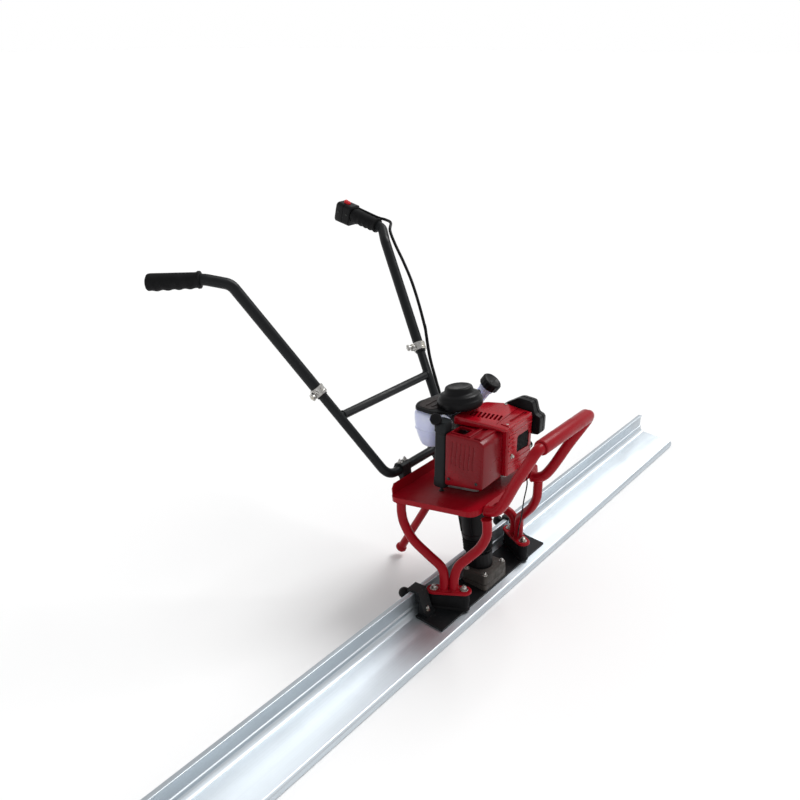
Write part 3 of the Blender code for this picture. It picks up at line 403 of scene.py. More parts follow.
class Shape:
    """Collects closed bodies in one mesh, then turns them into a piece that rides a CAD body."""

    def __init__(self, place=None):
        self.bm = bmesh.new()
        self.place = place or Matrix.Identity(4)

    def rings(self, rings, closed=False):
        """Skin a row of rings; an open row gets end caps, a closed one joins up."""
        loops = [[self.bm.verts.new(self.place @ Vector(p)) for p in ring] for ring in rings]
        count = len(loops[0])
        pairs = list(zip(loops, loops[1:])) + ([(loops[-1], loops[0])] if closed else [])
        faces = []
        for low, high in pairs:
            for i in range(count):
                j = (i + 1) % count
                faces.append(self.bm.faces.new((low[i], low[j], high[j], high[i])))
        if not closed:
            faces.append(self.bm.faces.new(loops[0][::-1]))
            faces.append(self.bm.faces.new(loops[-1]))
        bmesh.ops.recalc_face_normals(self.bm, faces=faces)
        return self

    def circles(self, centres, axis, radii, count=32, closed=False, wave=None):
        """Rings square to one axis; wave(angle) scales the radius round the ring."""
        side, up = frame_of(axis)
        turn = 2 * math.pi / count
        spokes = [math.cos(i * turn) * side + math.sin(i * turn) * up for i in range(count)]
        scales = [wave(i * turn) if wave else 1.0 for i in range(count)]
        return self.rings([[Vector(c) + r * scale * spoke for spoke, scale in zip(spokes, scales)]
                           for c, r in zip(centres, radii)], closed)

    def turned(self, start, axis, profile, count=32, closed=False, wave=None):
        """A lathe shape; the profile is (distance along the axis, radius)."""
        axis = Vector(axis).normalized()
        centres = [Vector(start) + axis * along for along, _ in profile]
        return self.circles(centres, axis, [r for _, r in profile], count, closed, wave)

    def rod(self, start, axis, radius, length, count=32):
        """A plain cylinder, mostly to cut a bore."""
        return self.turned(start, axis, [(0, radius), (length, radius)], count)

    def tube(self, path, radius, count=24):
        """Follow a path without twisting; radius is one number or one for each point."""
        radii = [radius] * len(path) if isinstance(radius, float) else radius
        tangents = [(path[min(i + 1, len(path) - 1)] - path[max(i - 1, 0)]).normalized()
                    for i in range(len(path))]
        side, up = frame_of(tangents[0])
        rings = []
        for point, tangent, r in zip(path, tangents, radii):
            side = (side - tangent * side.dot(tangent)).normalized()
            up = tangent.cross(side)
            rings.append([point + r * (math.cos(a) * side + math.sin(a) * up)
                          for a in (2 * math.pi * i / count for i in range(count))])
        return self.rings(rings)

    def prism(self, outline, axis, low, high):
        """A flat outline pushed along a main axis."""
        return self.rings([[place_on(axis, p[0], p[1], t) for p in outline] for t in (low, high)])

    def box(self, low, high):
        return self.prism([(low[0], low[1]), (high[0], low[1]), (high[0], high[1]), (low[0], high[1])],
                          "Z", low[2], high[2])

    def hex_bolt(self, at, axis, size=0.0062, washer=True, stud=0.0):
        """Chamfered hexagon head on a washer, or a nut with a stud through it."""
        axis, at = Vector(axis).normalized(), Vector(at)
        if washer:
            self.turned(at, axis, [(0, size * 1.5), (0.0004, size * 1.55), (0.0012, size * 1.55),
                                   (0.0016, size * 1.5)], 28)
            at = at + axis * 0.0016
        high = size * 1.05
        self.turned(at, axis, [(0, size), (high * 0.82, size), (high, size * 0.86)], 6)
        self.turned(at, axis, [(high * 0.8, size * 0.84), (high + 0.0002, size * 0.84),
                               (high + 0.0007, size * 0.6)], 24)
        if stud:
            self.turned(at, axis, [(high, size * 0.5), (high + stud, size * 0.5),
                                   (high + stud + 0.0006, size * 0.38)], 16)
        return self

    def screw(self, at, axis, radius=0.0042):
        """Pan-head screw with a socket."""
        self.turned(at, axis, [(0, radius), (radius * 0.35, radius), (radius * 0.65, radius * 0.82),
                               (radius * 0.72, radius * 0.45), (radius * 0.30, radius * 0.40)], 20)
        return self

    def object(self, name, material, bevel=0.0, segments=3, sharp=SHARP_ANGLE):
        """The mesh as a free object."""
        mesh = bpy.data.meshes.new(name)
        self.bm.to_mesh(mesh)
        self.bm.free()
        mesh.materials.append(material)
        mesh.shade_smooth()
        mesh.set_sharp_from_angle(angle=math.radians(sharp))
        made = bpy.data.objects.new(name, mesh)
        bpy.context.collection.objects.link(made)
        if bevel:
            round_edges(made, bevel, segments)
        return made

    def piece(self, name, material, body="frame", stands_for=(), slot=None, **shape):
        return settle(self.object(name, material, **shape), body, stands_for)


def round_edges(obj, width, segments=3, angle=40.0):
    """Bevel every edge that is sharper than an angle in degrees."""
    mod = obj.modifiers.new("round", "BEVEL")
    mod.width = width
    mod.segments = segments
    mod.limit_method = "ANGLE"
    mod.angle_limit = math.radians(angle)
    mod.harden_normals = True


def bake(obj):
    """Apply all modifiers, so that later cuts start from a plain mesh."""
    depsgraph = bpy.context.evaluated_depsgraph_get()
    depsgraph.update()
    obj.data = bpy.data.meshes.new_from_object(obj.evaluated_get(depsgraph))
    obj.modifiers.clear()
    return obj


def carve(obj, cutter, operation="DIFFERENCE"):
    """Cut a Shape out of an object, or join it on, and leave a plain mesh."""
    tool = cutter.object("tool", obj.data.materials[0])
    mod = obj.modifiers.new("carve", "BOOLEAN")
    mod.operation = operation
    mod.solver = "EXACT"
    mod.use_self = operation == "UNION"
    mod.object = tool
    bake(obj)
    bpy.data.objects.remove(tool, do_unlink=True)
    obj.data.set_sharp_from_angle(angle=math.radians(SHARP_ANGLE))
    return obj


def settle(obj, body="frame", stands_for=()):
    """Make an object a piece: it rides a body and may stand for CAD nodes."""
    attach(obj, body)
    if stands_for:
        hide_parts(*stands_for)
    return obj


def face_z(y, clear=0.0):
    """Height of the blade's working face at y."""
    return NOSE_HEIGHT + 0.004 + FACE_SLOPE * (y - BLADE_FRONT) + clear


BLADE_LOW, BLADE_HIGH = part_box("screed_blade")
BLADE_FRONT, BLADE_BACK, BLADE_HEIGHT = BLADE_LOW.y, BLADE_HIGH.y, BLADE_HIGH.z


# ---------------------------------------------------------------- blade and base

def build_blade():
    """One extrusion: flat sole, ribbed working face, bead, groove and upright rear wall."""
    wall = BLADE_BACK - BLADE_WALL
    rib = face_z(FACE_BACK) + 0.006
    outline = [(BLADE_FRONT + 0.003, 0), (BLADE_BACK, 0), (BLADE_BACK, BLADE_HEIGHT),
               (wall - 0.003, BLADE_HEIGHT), (wall - 0.003, BLADE_HEIGHT - 0.004),
               (wall, BLADE_HEIGHT - 0.0052), (wall, rib + 0.0125), (wall - 0.003, rib + 0.0105),
               (wall - 0.003, rib + 0.003), (wall - 0.005, rib),
               (FACE_BACK + 0.001, face_z(FACE_BACK, 0.0020)),
               (FACE_BACK - 0.002, face_z(FACE_BACK - 0.002)),
               (BLADE_FRONT + 0.005, face_z(BLADE_FRONT + 0.005)), (BLADE_FRONT, NOSE_HEIGHT),
               (BLADE_FRONT, 0.003)]
    blade = Shape().prism(soften(outline, 0.0012), "X", BLADE_LOW.x, BLADE_HIGH.x)
    blade = blade.object("blade", ALUMINIUM)
    skin = 0.0035
    core = [(BLADE_FRONT + skin, skin), (wall - 0.001, skin), (wall - 0.001, rib - 2 * skin),
            (BLADE_FRONT + skin, NOSE_HEIGHT - 0.001)]
    carve(blade, Shape().prism(soften(core, 0.001), "X", BLADE_LOW.x - 0.01, BLADE_HIGH.x + 0.01))
    settle(blade, stands_for=["screed_blade"])


def build_blade_clamps():
    """Bolted hooks over the rear wall, with ball knobs."""
    for label, side in SIDES:
        round_edges(NODES[f"blade_clamp_{label}"], 0.0009, 2)
        low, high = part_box(f"blade_clamp_knob_{label}")
        start = Vector(((low.x + high.x) / 2, low.y, (low.z + high.z) / 2))
        knob = Shape()
        knob.turned(start, Y_AXIS, [(0, 0.0045), (0.007, 0.0045), (0.0085, 0.0078)] +
                    [(0.019 - 0.0125 * math.cos(math.radians(a)), 0.0125 * math.sin(math.radians(a)))
                     for a in range(40, 171, 13)], 32)
        knob.piece(f"clamp_ball_{label}", BLACK_PLASTIC, f"blade_knob_{label}",
                   [f"blade_clamp_knob_{label}"])
        seat = face_z(0.024, PLATE_THICK + 0.0115)
        bolts = Shape()
        bolts.hex_bolt((side * 0.196, 0.0235, seat - 0.002), (0, -0.35, 1), 0.0048, stud=0.003)
        bolts.piece(f"clamp_bolt_{label}", ZINC, bevel=BOLT_EDGE)


def foot_point(side, along, across, z):
    """A point in a foot's own turned frame."""
    y = FOOT_Y + along * math.cos(FOOT_YAW) - across * math.sin(FOOT_YAW)
    x = FOOT_X + along * math.sin(FOOT_YAW) + across * math.cos(FOOT_YAW)
    return Vector((side * x, y, z))


def stadium(half, radius):
    """An outline with straight sides and round ends."""
    return arc((half, 0), radius, -90, 90, 12) + arc((-half, 0), radius, 90, 270, 12)


def foot_ring(side, radius, z=None):
    """The foot's outline at height z, or laid on the base plate."""
    ring = [foot_point(side, a, c, z or 0.0) for a, c in stadium(FOOT_HALF, radius)]
    if z is None:
        for point in ring:
            point.z = face_z(point.y, PLATE_THICK + GAP)
    return ring


def build_feet():
    """Rubber blocks waisted between foot and base plate, their bolts, and the legs on them."""
    for label, side in SIDES:
        block_r = FOOT_R - 0.0022
        rings = [foot_ring(side, block_r)]
        for share, swell in ((0.06, 0.0), (0.12, -0.0030), (0.30, -0.0018), (0.50, -0.0010),
                             (0.70, -0.0018), (0.88, -0.0030), (0.94, 0.0), (1.0, 0.0)):
            top = foot_ring(side, block_r + swell, FLANGE_LOW - GAP)
            low = foot_ring(side, block_r + swell)
            rings.append([b.lerp(t, share) for b, t in zip(low, top)])
        Shape().rings(rings).piece(f"rubber_block_{label}", RUBBER, stands_for=[f"rubber_mount_{label}"],
                                   bevel=0.0006)
        for place, along in (("front", -FOOT_HALF), ("rear", FOOT_HALF)):
            bolt = Shape().hex_bolt(foot_point(side, along, 0, FLANGE_HIGH), Z_AXIS, 0.0060, stud=0.0025)
            bolt.piece(f"flange_bolt_{label}_{place}", ZINC, stands_for=[f"foot_bolt_{label}_{place}"],
                       bevel=BOLT_EDGE)
        build_leg(label, side)


def bead(shape, centre, axis, radius, size=0.0022, count=36):
    """A weld bead round a tube, with its ripples."""
    side, up = frame_of(axis)
    rings = []
    for i in range(count):
        angle = 2 * math.pi * i / count
        out = math.cos(angle) * side + math.sin(angle) * up
        thick = size * (1 + 0.16 * math.sin(7 * angle) + 0.14 * math.sin(17 * angle))
        middle = Vector(centre) + out * radius
        rings.append([middle + thick * (math.cos(a) * out + math.sin(a) * Vector(axis).normalized())
                      for a in (math.radians(60 * k) for k in range(6))])
    shape.rings(rings, closed=True)


def build_leg(label, side):
    """Welded leg: foot flange and two bent tubes that stand side by side on it."""
    rear = [foot_point(side, STEM_SHIFT, 0, FLANGE_LOW + 0.0050), foot_point(side, STEM_SHIFT, 0, 0.100)]
    rear += [mirrored(p, side) for p in
             ((0.1470, 0.0210, 0.122), (0.1420, 0.0580, 0.136), (0.1370, 0.1020, 0.155),
              (0.1330, 0.1290, 0.182), (0.1300, 0.1400, 0.207), (0.1280, 0.1426, 0.2338))]
    front = [foot_point(side, -STEM_SHIFT, 0, FLANGE_LOW + 0.0050), foot_point(side, -STEM_SHIFT, 0, 0.100)]
    front += [mirrored(p, side) for p in
              ((0.1310, -0.0130, 0.128), (0.1210, -0.0300, 0.150), (0.1120, -0.0520, 0.178),
               (0.1080, -0.0650, 0.208), (0.1080, -0.0665, 0.232), (0.1100, -0.0655, 0.2515))]
    leg = Shape()
    leg.rings([foot_ring(side, FOOT_R - 0.0010, FLANGE_LOW),
               foot_ring(side, FOOT_R, FLANGE_LOW + 0.0010),
               foot_ring(side, FOOT_R, FLANGE_HIGH - 0.0012),
               foot_ring(side, FOOT_R - 0.0012, FLANGE_HIGH)])
    for route in (rear, front):
        leg.tube(smooth_path(route), TUBE_R)
        stem = Vector((route[0].x, route[0].y, FLANGE_HIGH + 0.0004))
        bead(leg, stem, Z_AXIS, TUBE_R + 0.0004, 0.0024)
        bead(leg, route[-1] - Vector((0, 0, 0.0010)), (0, 0.1, 1), TUBE_R, 0.0018)
    leg.piece(f"leg_frame_{label}", RED, stands_for=[f"leg_{label}"])


def join(target, other, name):
    """Put another object's mesh into the target's."""
    bm = bmesh.new()
    bm.from_mesh(target.data)
    bm.from_mesh(other.data)
    bm.to_mesh(target.data)
    bm.free()
    bpy.data.objects.remove(other, do_unlink=True)
    target.name = name
    target.data.shade_smooth()
    target.data.set_sharp_from_angle(angle=math.radians(SHARP_ANGLE))


def build_deck():
    """CAD sheet with rounded folds, plus the bolts that hold the crankcase to it."""
    round_edges(NODES["deck"], 0.0014, 3, 50)
    round_edges(NODES["base_plate"], 0.0006, 2)
    bolts = Shape(CRANK)
    for x in (-0.070, 0.075):
        bolts.hex_bolt((x, 0.034, 0.0002), Z_AXIS, 0.0036)
    bolts.piece("deck_bolts", DARK_STEEL, bevel=BOLT_EDGE)


def build_front_loop():
    """Bent lifting loop with a fat sleeve round its crossbar, welded to the deck's front."""
    loop_x, loop_y, loop_z, corner = 0.120, -0.174, 0.441, 0.020
    radius, sleeve_r = 0.0115, 0.0160
    half = [(0.098, -0.0572, 0.2645), (0.098, -0.066, 0.2648), (0.099, -0.084, 0.2740),
            (0.103, -0.102, 0.300), (0.112, -0.132, 0.360), (loop_x, -0.166, 0.422)]
    path = {side: smooth_path([mirrored(p, side) for p in half]) for side in (-1, 1)}
    for side in (-1, 1):
        end = Vector((side * (loop_x - corner), loop_y, loop_z))
        knee = Vector((side * loop_x, loop_y, loop_z))
        start = path[side][-1]
        path[side] += [start * (1 - t) ** 2 + knee * 2 * t * (1 - t) + end * t ** 2
                       for t in (k / 10 for k in range(1, 11))]
    loop = Shape().tube(path[-1] + path[1][::-1], radius, 28)
    for side in (-1, 1):
        bead(loop, mirrored(half[0], side), Y_AXIS, radius, 0.0020)
    loop.piece("lifting_loop", RED, stands_for=["front_loop"])
    reach = loop_x - corner - 0.001
    rim = [(0, radius + GAP), (0, sleeve_r - 0.002)]
    rim += [(0.002 - 0.002 * math.cos(a), sleeve_r - 0.002 + 0.002 * math.sin(a))
            for a in (math.radians(30 * k) for k in (1, 2, 3))]
    profile = rim + [(2 * reach - along, r) for along, r in rim[::-1]]
    Shape().turned((-reach, loop_y, loop_z), X_AXIS, profile, 40, closed=True).piece(
        "loop_bar_sleeve", RED, stands_for=["loop_sleeve"])


def build_kickstand():
    """Folding prop stand with its bulb tip, bracket and pivot bolt."""
    top = Vector((0, 0.118, 0.2310))
    path = smooth_path([top, (0, 0.146, 0.190), (0, 0.175, 0.136), (0, 0.208, 0.076), (0, 0.2345, 0.0275)])
    tail = (path[-1] - path[-2]).normalized()
    path, radii = path[:-1], [0.0095] * (len(path) - 1)
    for along, r in ((0, 0.0095), (0.0025, 0.0120), (0.005, 0.0132), (0.009, 0.0135), (0.012, 0.0118),
                     (0.014, 0.0085)):
        path.append(Vector((0, 0.2345, 0.0275)) + tail * along)
        radii.append(r)
    stand = Shape().tube(path, radii, 28)
    stand.turned(top - X_AXIS * 0.0130, X_AXIS,
                 [(0, 0.0115), (0.001, 0.0125), (0.025, 0.0125), (0.026, 0.0115)], 32)
    stand.piece("kickstand_leg", RED, "stand", ["kickstand"])
    round_edges(NODES["kickstand_bracket"], 0.0008, 2)
    pin = Shape()
    pin.turned(top - X_AXIS * 0.0205, X_AXIS,
               [(0, 0.0055), (0.0012, 0.0068), (0.0030, 0.0068), (0.0030, 0.0042), (0.0375, 0.0042)], 28)
    pin.hex_bolt(top + X_AXIS * 0.0176, X_AXIS, 0.0056)
    pin.piece("kickstand_bolt", ZINC, stands_for=["kickstand_pin"], bevel=BOLT_EDGE)


# ---------------------------------------------------------------- drive

def build_drive():
    """Clutch housing, bellows and everything that turns, on the tilted crank axis."""
    housing = Shape(CRANK).turned((0, 0, 0), Z_AXIS, [
        (-0.130, 0.0330), (-0.1285, 0.0345), (-0.120, 0.0350), (-0.119, 0.0338), (-0.080, 0.0352),
        (-0.040, 0.0385), (-0.020, 0.0410), (-0.012, 0.0415), (-0.011, 0.0440), (-0.0045, 0.0440),
        (-0.0036, 0.0430),
        (-0.0036, 0.0280), (-0.052, 0.0260), (-0.054, 0.0110), (-0.130, 0.0110)], 48, closed=True)
    for k in range(6):
        turn = math.radians(60 * k + 15)
        out = Vector((math.cos(turn), math.sin(turn), 0))
        wide = Vector((-out.y, out.x, 0)) * 0.0016
        ends = []
        for z, proud in ((-0.116, 0.0026), (-0.012, 0.0095)):
            foot = out * 0.0335 + Z_AXIS * z
            ends.append([foot - wide, foot + wide, foot + wide + out * proud, foot - wide + out * proud])
        housing.rings(ends)
    housing.piece("clutch_bell_housing", BLACK_PLASTIC, stands_for=["clutch_housing"])
    folds = [(-0.1645, 0.0290)]
    for k in range(5):
        low = -0.1640 + 0.0066 * k
        folds += [(low + 0.0066 * t, 0.0315 - 0.0024 * math.cos(2 * math.pi * t))
                  for t in (0.0, 0.17, 0.33, 0.5, 0.67, 0.83)]
    folds += [(-0.1303, 0.0300), (-0.1303, 0.0200), (-0.1645, 0.0200)]
    Shape(CRANK).turned((0, 0, 0), Z_AXIS, folds, 48, closed=True).piece(
        "rubber_bellows", RUBBER, stands_for=["drive_bellows"], sharp=60)
    shaft = Shape(CRANK).turned((0, 0, 0), Z_AXIS, [
        (-0.229, 0.0045), (-0.228, 0.0055), (-0.060, 0.0055), (-0.059, 0.0090), (-0.0505, 0.0090),
        (-0.0505, 0.0060), (0.0205, 0.0060), (0.0215, 0.0050)], 24)
    shaft.piece("flexible_shaft_core", ZINC, "drive_line", ["drive_shaft"])
    weight = arc((0, 0), 0.0065, -90, 90, 8) + arc((0, 0), 0.0185, 90, -90, 20)
    Shape(CRANK).prism(weight, "Z", -0.2270, -0.2130).piece(
        "vibrator_weight", ZINC, "drive_line", ["eccentric_weight"], bevel=0.0006)


def build_exciter():
    """Cast exciter block: stepped casting with a joint line, its bore and its bolts."""
    half_x, front, back, top = 0.046, -0.0325, 0.0335, 0.062
    centre_y = CRANK_Y - (CRANK_Z - 0.050) * math.tan(DECK_TILT)
    plan = rounded_box((-half_x, front), (half_x, back), 0.008)
    block = Shape()
    rings = [[Vector((x, y, face_z(y, PLATE_THICK + GAP))) for x, y in plan]]
    for z, shrink in ((0.0385, 0.996), (0.0390, 0.970), (0.0405, 0.970), (0.0410, 0.990),
                      (top - 0.004, 0.965), (top - 0.001, 0.945), (top, 0.915)):
        rings.append(level(plan, z, shrink))
    block.rings(rings)
    body = block.object("exciter_block", BROWN_CAST)
    carve(body, Shape().rod((0, centre_y, 0), Z_AXIS, 0.0225, top - 0.006))
    carve(body, Shape().rod((0, centre_y, 0.04), Z_AXIS, 0.0085, 0.05, 24))
    settle(body, stands_for=["exciter_housing"])
    round_edges(NODES["exciter_cap"], 0.0010, 2)
    bolts = Shape()
    for x in (-0.037, 0.037):
        for y in (-0.023, 0.024):
            bolts.hex_bolt((x, y, top - 0.0012), Z_AXIS, 0.0042)
    bolts.piece("exciter_bolts", ZINC, bevel=BOLT_EDGE)


# ---------------------------------------------------------------- engine

def build_engine_block():
    """Crankcase, finned rear tower and finned cylinder, seen through the gaps between the covers."""
    case = Shape(CRANK)
    plan = rounded_box((-0.050, -0.046), (0.055, 0.048), 0.008)
    rings = [level(plan, z, s)
             for z, s in ((GAP, 0.97), (0.0015, 1.0), (0.0100, 1.0), (0.0105, 0.975), (0.0122, 0.975),
                          (0.0127, 1.0), (0.0210, 0.995), (0.0225, 0.97))]
    case.rings(rings)
    for x, y in ((-0.040, -0.036), (0.045, -0.036), (-0.040, 0.038), (0.045, 0.038)):
        case.turned((x, y, 0.0215), Z_AXIS, [(0, 0.0055), (0.0025, 0.0055), (0.0030, 0.0048)], 20)
    body = case.object("crankcase_casting", CAST)
    carve(body, Shape(CRANK).rod((0, 0, -0.01), Z_AXIS, 0.009, 0.05, 24))
    tower = Shape()
    for k in range(18):
        z = 0.2720 + 0.0077 * k
        tower.box((-0.0540, 0.0552, z), (0.0580, 0.0945, z + 0.0028))
    tower.box((-0.0500, 0.0580, 0.2700), (0.0540, 0.0915, 0.4110))
    join(body, tower.object("tower", CAST), "crankcase_casting")
    settle(body, stands_for=["crankcase"])
    cylinder = Shape()
    for k in range(13):
        z = 0.3010 + 0.0080 * k
        cylinder.prism(rounded_box((-0.0072, -0.0460), (0.0600, 0.0458), 0.006, 3), "Z", z, z + 0.0022)
    cylinder.prism(rounded_box((-0.0020, -0.0400), (0.0520, 0.0400), 0.010, 4), "Z", 0.2960, 0.4040)
    cylinder.piece("finned_cylinder", CAST, stands_for=["cylinder_block"], bevel=0.0004,
                   segments=2)


def build_muffler():
    """Pressed muffler can behind the near cover, with its seam and outlet."""
    low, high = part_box("muffler")
    middle = (low + high) / 2
    can = Shape()
    rings = []
    for z, shrink in ((low.z, 0.80), (low.z + 0.003, 0.93), (low.z + 0.010, 1.0), (middle.z - 0.002, 1.0),
                      (middle.z - 0.002, 1.05), (middle.z + 0.002, 1.05), (middle.z + 0.002, 1.0),
                      (high.z - 0.010, 1.0), (high.z - 0.003, 0.93), (high.z, 0.80)):
        half = Vector(((high.x - low.x) / 2 * shrink * 0.95, (high.y - low.y) / 2 * shrink * 0.95))
        corners = [(middle.x + k * half.x, middle.y + k * half.y) for k in (-1, 1)]
        rings.append(level(rounded_box(*corners, 0.010, 5), z))
    can.rings(rings)
    can.turned((-0.064, 0.026, high.z - 0.002), Z_AXIS,
               [(0, 0.0085), (0.006, 0.0085), (0.006, 0.0065), (0.001, 0.0062)], 28)
    can.piece("muffler_can", DARK_STEEL, stands_for=["muffler"], slot="cast_metal")


def build_muffler_cover():
    """Near heat shield: chamfered box with top window, two ridges, and shallow vertical flutes."""
    near, inner = -0.092, -0.0120
    outline = soften([(-0.040, 0.3005), (0.0545, 0.2870), (0.0545, 0.4080), (-0.0270, 0.4115),
                      (-0.0400, 0.4030)], 0.007, 5)
    shell = Shape().prism(outline, "X", near, inner)
    # The cover takes the darker shell red, painted shade for its near face.
    shell = bake(shell.object("muffler_shield", SHELL_RED_SHADED, bevel=0.005, segments=4))
    hollow = soften([(-0.037, 0.3040), (0.0515, 0.2905), (0.0515, 0.4045), (-0.0265, 0.4080),
                     (-0.0370, 0.4010)], 0.004)
    carve(shell, Shape().prism(hollow, "X", near + 0.0030, inner + 0.01))
    ridges = Shape()
    for y, wide, high in ((-0.0205, 0.0150, 0.0032), (0.0020, 0.0080, 0.0022)):
        bar = [(y - wide / 2 - 0.002, 0.4080), (y + wide / 2 + 0.002, 0.4080),
               (y + wide / 2, 0.4105 + high), (y - wide / 2, 0.4112 + high)]
        ridges.prism(soften(bar, 0.0012), "X", near + 0.0075, inner - 0.0015)
    ridges.box((-0.0835, 0.0105, 0.4060), (-0.0445, 0.0465, 0.4113))
    carve(shell, ridges, "UNION")
    carve(shell, Shape().prism(rounded_box((-0.0800, 0.0135), (-0.0480, 0.0435), 0.003), "Z", 0.395, 0.42))
    flutes = Shape()
    for k in range(6):
        y = -0.0160 + 0.0105 * k
        low = 0.3360 + 0.0024 * abs(k - 2)
        flute = [Vector((0, y + 0.0014 * math.sin(t * 5.2 + 0.4), low + (0.3950 - low) * t))
                 for t in (j / 12 for j in range(13))]
        flutes.rings([[Vector((near + a, p.y + b, p.z)) for a, b in
                       ((-0.0010, -0.0020), (0.0011, -0.0007), (0.0011, 0.0007), (-0.0010, 0.0020))]
                      for p in flute])
    carve(shell, flutes)
    round_edges(shell, 0.0006, 2, 50)
    settle(shell, stands_for=["muffler_cover"])
    screws = Shape()
    screws.screw((near - 0.0002, -0.026, 0.3130), -X_AXIS, 0.0034)
    screws.screw((near - 0.0002, 0.043, 0.3050), -X_AXIS, 0.0034)
    screws.piece("shield_screws", DARK_STEEL)


def build_top_cover():
    """Fan shroud: sloping slotted top, raised front frame with a long recess, grille and side ribs."""
    plan = [(-0.020, -0.052), (0.094, -0.050), (0.096, 0.020), (0.070, 0.055), (0.040, 0.066),
            (-0.046, 0.066), (-0.040, 0.040)]
    slope = 0.085
    centre = Vector((0.030, 0.010))
    rings = []
    for z, grow in ((0.4120, -0.0010), (0.4130, 0.0), (0.4165, 0.0), (0.4183, -0.0010), (0.4190, -0.0030)):
        ring = []
        for x, y in soften(plan, 0.006, 4):
            inward = (Vector((x, y)) - centre).normalized() * grow
            lift = slope * (y + 0.052) * (z - 0.4120) / 0.0070
            ring.append(Vector((x + inward.x, y + inward.y, z + lift)))
        rings.append(ring)
    # The shroud takes the lighter shell red, painted light for its lit top.
    cover = Shape().rings(rings).object("fan_shroud", SHELL_RED_LIT)
    near, front, back = -0.0110, -0.0515, 0.0500
    skirt = Shape().prism(rounded_box((near, front), (0.0935, back), 0.006), "Z", 0.3060, 0.4150)
    carve(cover, skirt, "UNION")
    hollow = rounded_box((near + 0.0030, front + 0.003), (0.0905, back - 0.003), 0.004)
    carve(cover, Shape().prism(hollow, "Z", 0.3000, 0.4120))
    bar = [(-0.0495, 0.4160), (-0.0495, 0.4206), (-0.0300, 0.4224), (-0.0275, 0.4195), (-0.0275, 0.4160)]
    carve(cover, Shape().prism(soften(bar, 0.0022, 4), "X", -0.0060, 0.0905), "UNION")
    recess = rounded_box((0.0160, -0.0435), (0.0830, -0.0350), 0.0040)
    carve(cover, Shape().prism(recess, "Z", 0.4185, 0.4300))
    slots = Shape()
    for k in range(8):
        x, y = -0.0180 + 0.0034 * k, 0.0400 - 0.0082 * k
        slots.prism([(x, y), (x + 0.0270, y + 0.0060), (x + 0.0270, y + 0.0112), (x, y + 0.0052)],
                    "Z", 0.405, 0.45)
    slots.prism([(-0.0140, -0.0230), (0.0940, -0.0150), (0.0940, -0.0138), (-0.0140, -0.0218)],
                "Z", 0.4198, 0.44)
    opening = [(0.0280, 0.3480), (0.0790, 0.3465), (0.0800, 0.3800), (0.0745, 0.3870), (0.0320, 0.3870),
               (0.0280, 0.3830)]
    slots.prism(soften(opening, 0.003), "Y", -0.060, -0.0440)
    carve(cover, slots)
    ribs = Shape()
    for k in range(4):
        z = 0.3620 + 0.0105 * k
        ribs.prism(soften([(front - 0.0014, z), (front + 0.002, z), (front + 0.002, z + 0.0050),
                           (front - 0.0014, z + 0.0042)], 0.0006), "X", -0.0075, 0.0200)
    for z in (0.3200, 0.3330, 0.4000):
        ribs.prism(soften([(front - 0.0010, z), (front + 0.002, z), (front + 0.002, z + 0.0030),
                           (front - 0.0010, z + 0.0024)], 0.0006), "X", -0.0060, 0.0890)
    carve(cover, ribs, "UNION")
    round_edges(cover, *COVER_EDGE)
    settle(cover, stands_for=["top_cover"])
    build_grille()
    screws = Shape()
    screws.screw((0.0020, -0.0400, 0.4192), (0, -slope, 1), 0.0036)
    screws.screw((0.0880, 0.0150, 0.4240), (0, -slope, 1), 0.0036)
    screws.hex_bolt((0.0060, front - 0.0002, 0.3480), -Y_AXIS, 0.0034)
    screws.screw((0.0870, front - 0.0002, 0.3420), -Y_AXIS, 0.0032)
    screws.piece("shroud_screws", ZINC)


def build_grille():
    """Black air inlet with fine diagonal blades, set in the shroud's front opening."""
    grille = Shape()
    low, high = Vector((0.0262, 0.3448)), Vector((0.0818, 0.3888))
    grille.box((low.x, -0.0470, low.y), (high.x, -0.0450, high.y))
    lean, pitch, wide = 0.014, 0.0056, 0.0022
    first = low.x - lean
    for k in range(int((high.x - first) / pitch)):
        foot = first + pitch * k
        start = max(0.0, (low.x + 0.001 - foot) / lean)
        end = min(1.0, (high.x - 0.001 - wide - foot) / lean)
        if end - start < 0.15:
            continue
        corners = [(foot + lean * start, low.y + (high.y - low.y) * start),
                   (foot + lean * end, low.y + (high.y - low.y) * end)]
        (ax, az), (bx, bz) = corners
        grille.prism([(ax, az), (ax + wide, az), (bx + wide, bz), (bx, bz)], "Y", -0.0502, -0.0468)
    grille.piece("air_inlet_grille", BLACK_PLASTIC, bevel=0.0003, segments=2)


def build_side_column():
    """Black corner column on the near side, with moulded flutes."""
    low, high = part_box("side_column")
    plan = rounded_box((low.x, low.y), (high.x, high.y), 0.0085, 6)
    centre = Vector(((low.x + high.x) / 2, (low.y + high.y) / 2))
    column = Shape()
    levels = [(low.z, 0.90), (low.z + 0.0030, 1.0), (low.z + 0.020, 1.0), (low.z + 0.022, 0.94),
              (high.z - 0.026, 0.90), (high.z - 0.024, 1.0), (high.z - 0.004, 1.0), (high.z, 0.86)]
    column.rings([level(plan, z, s, centre) for z, s in levels])
    column.piece("corner_column", GREY_PLASTIC, stands_for=["side_column"])


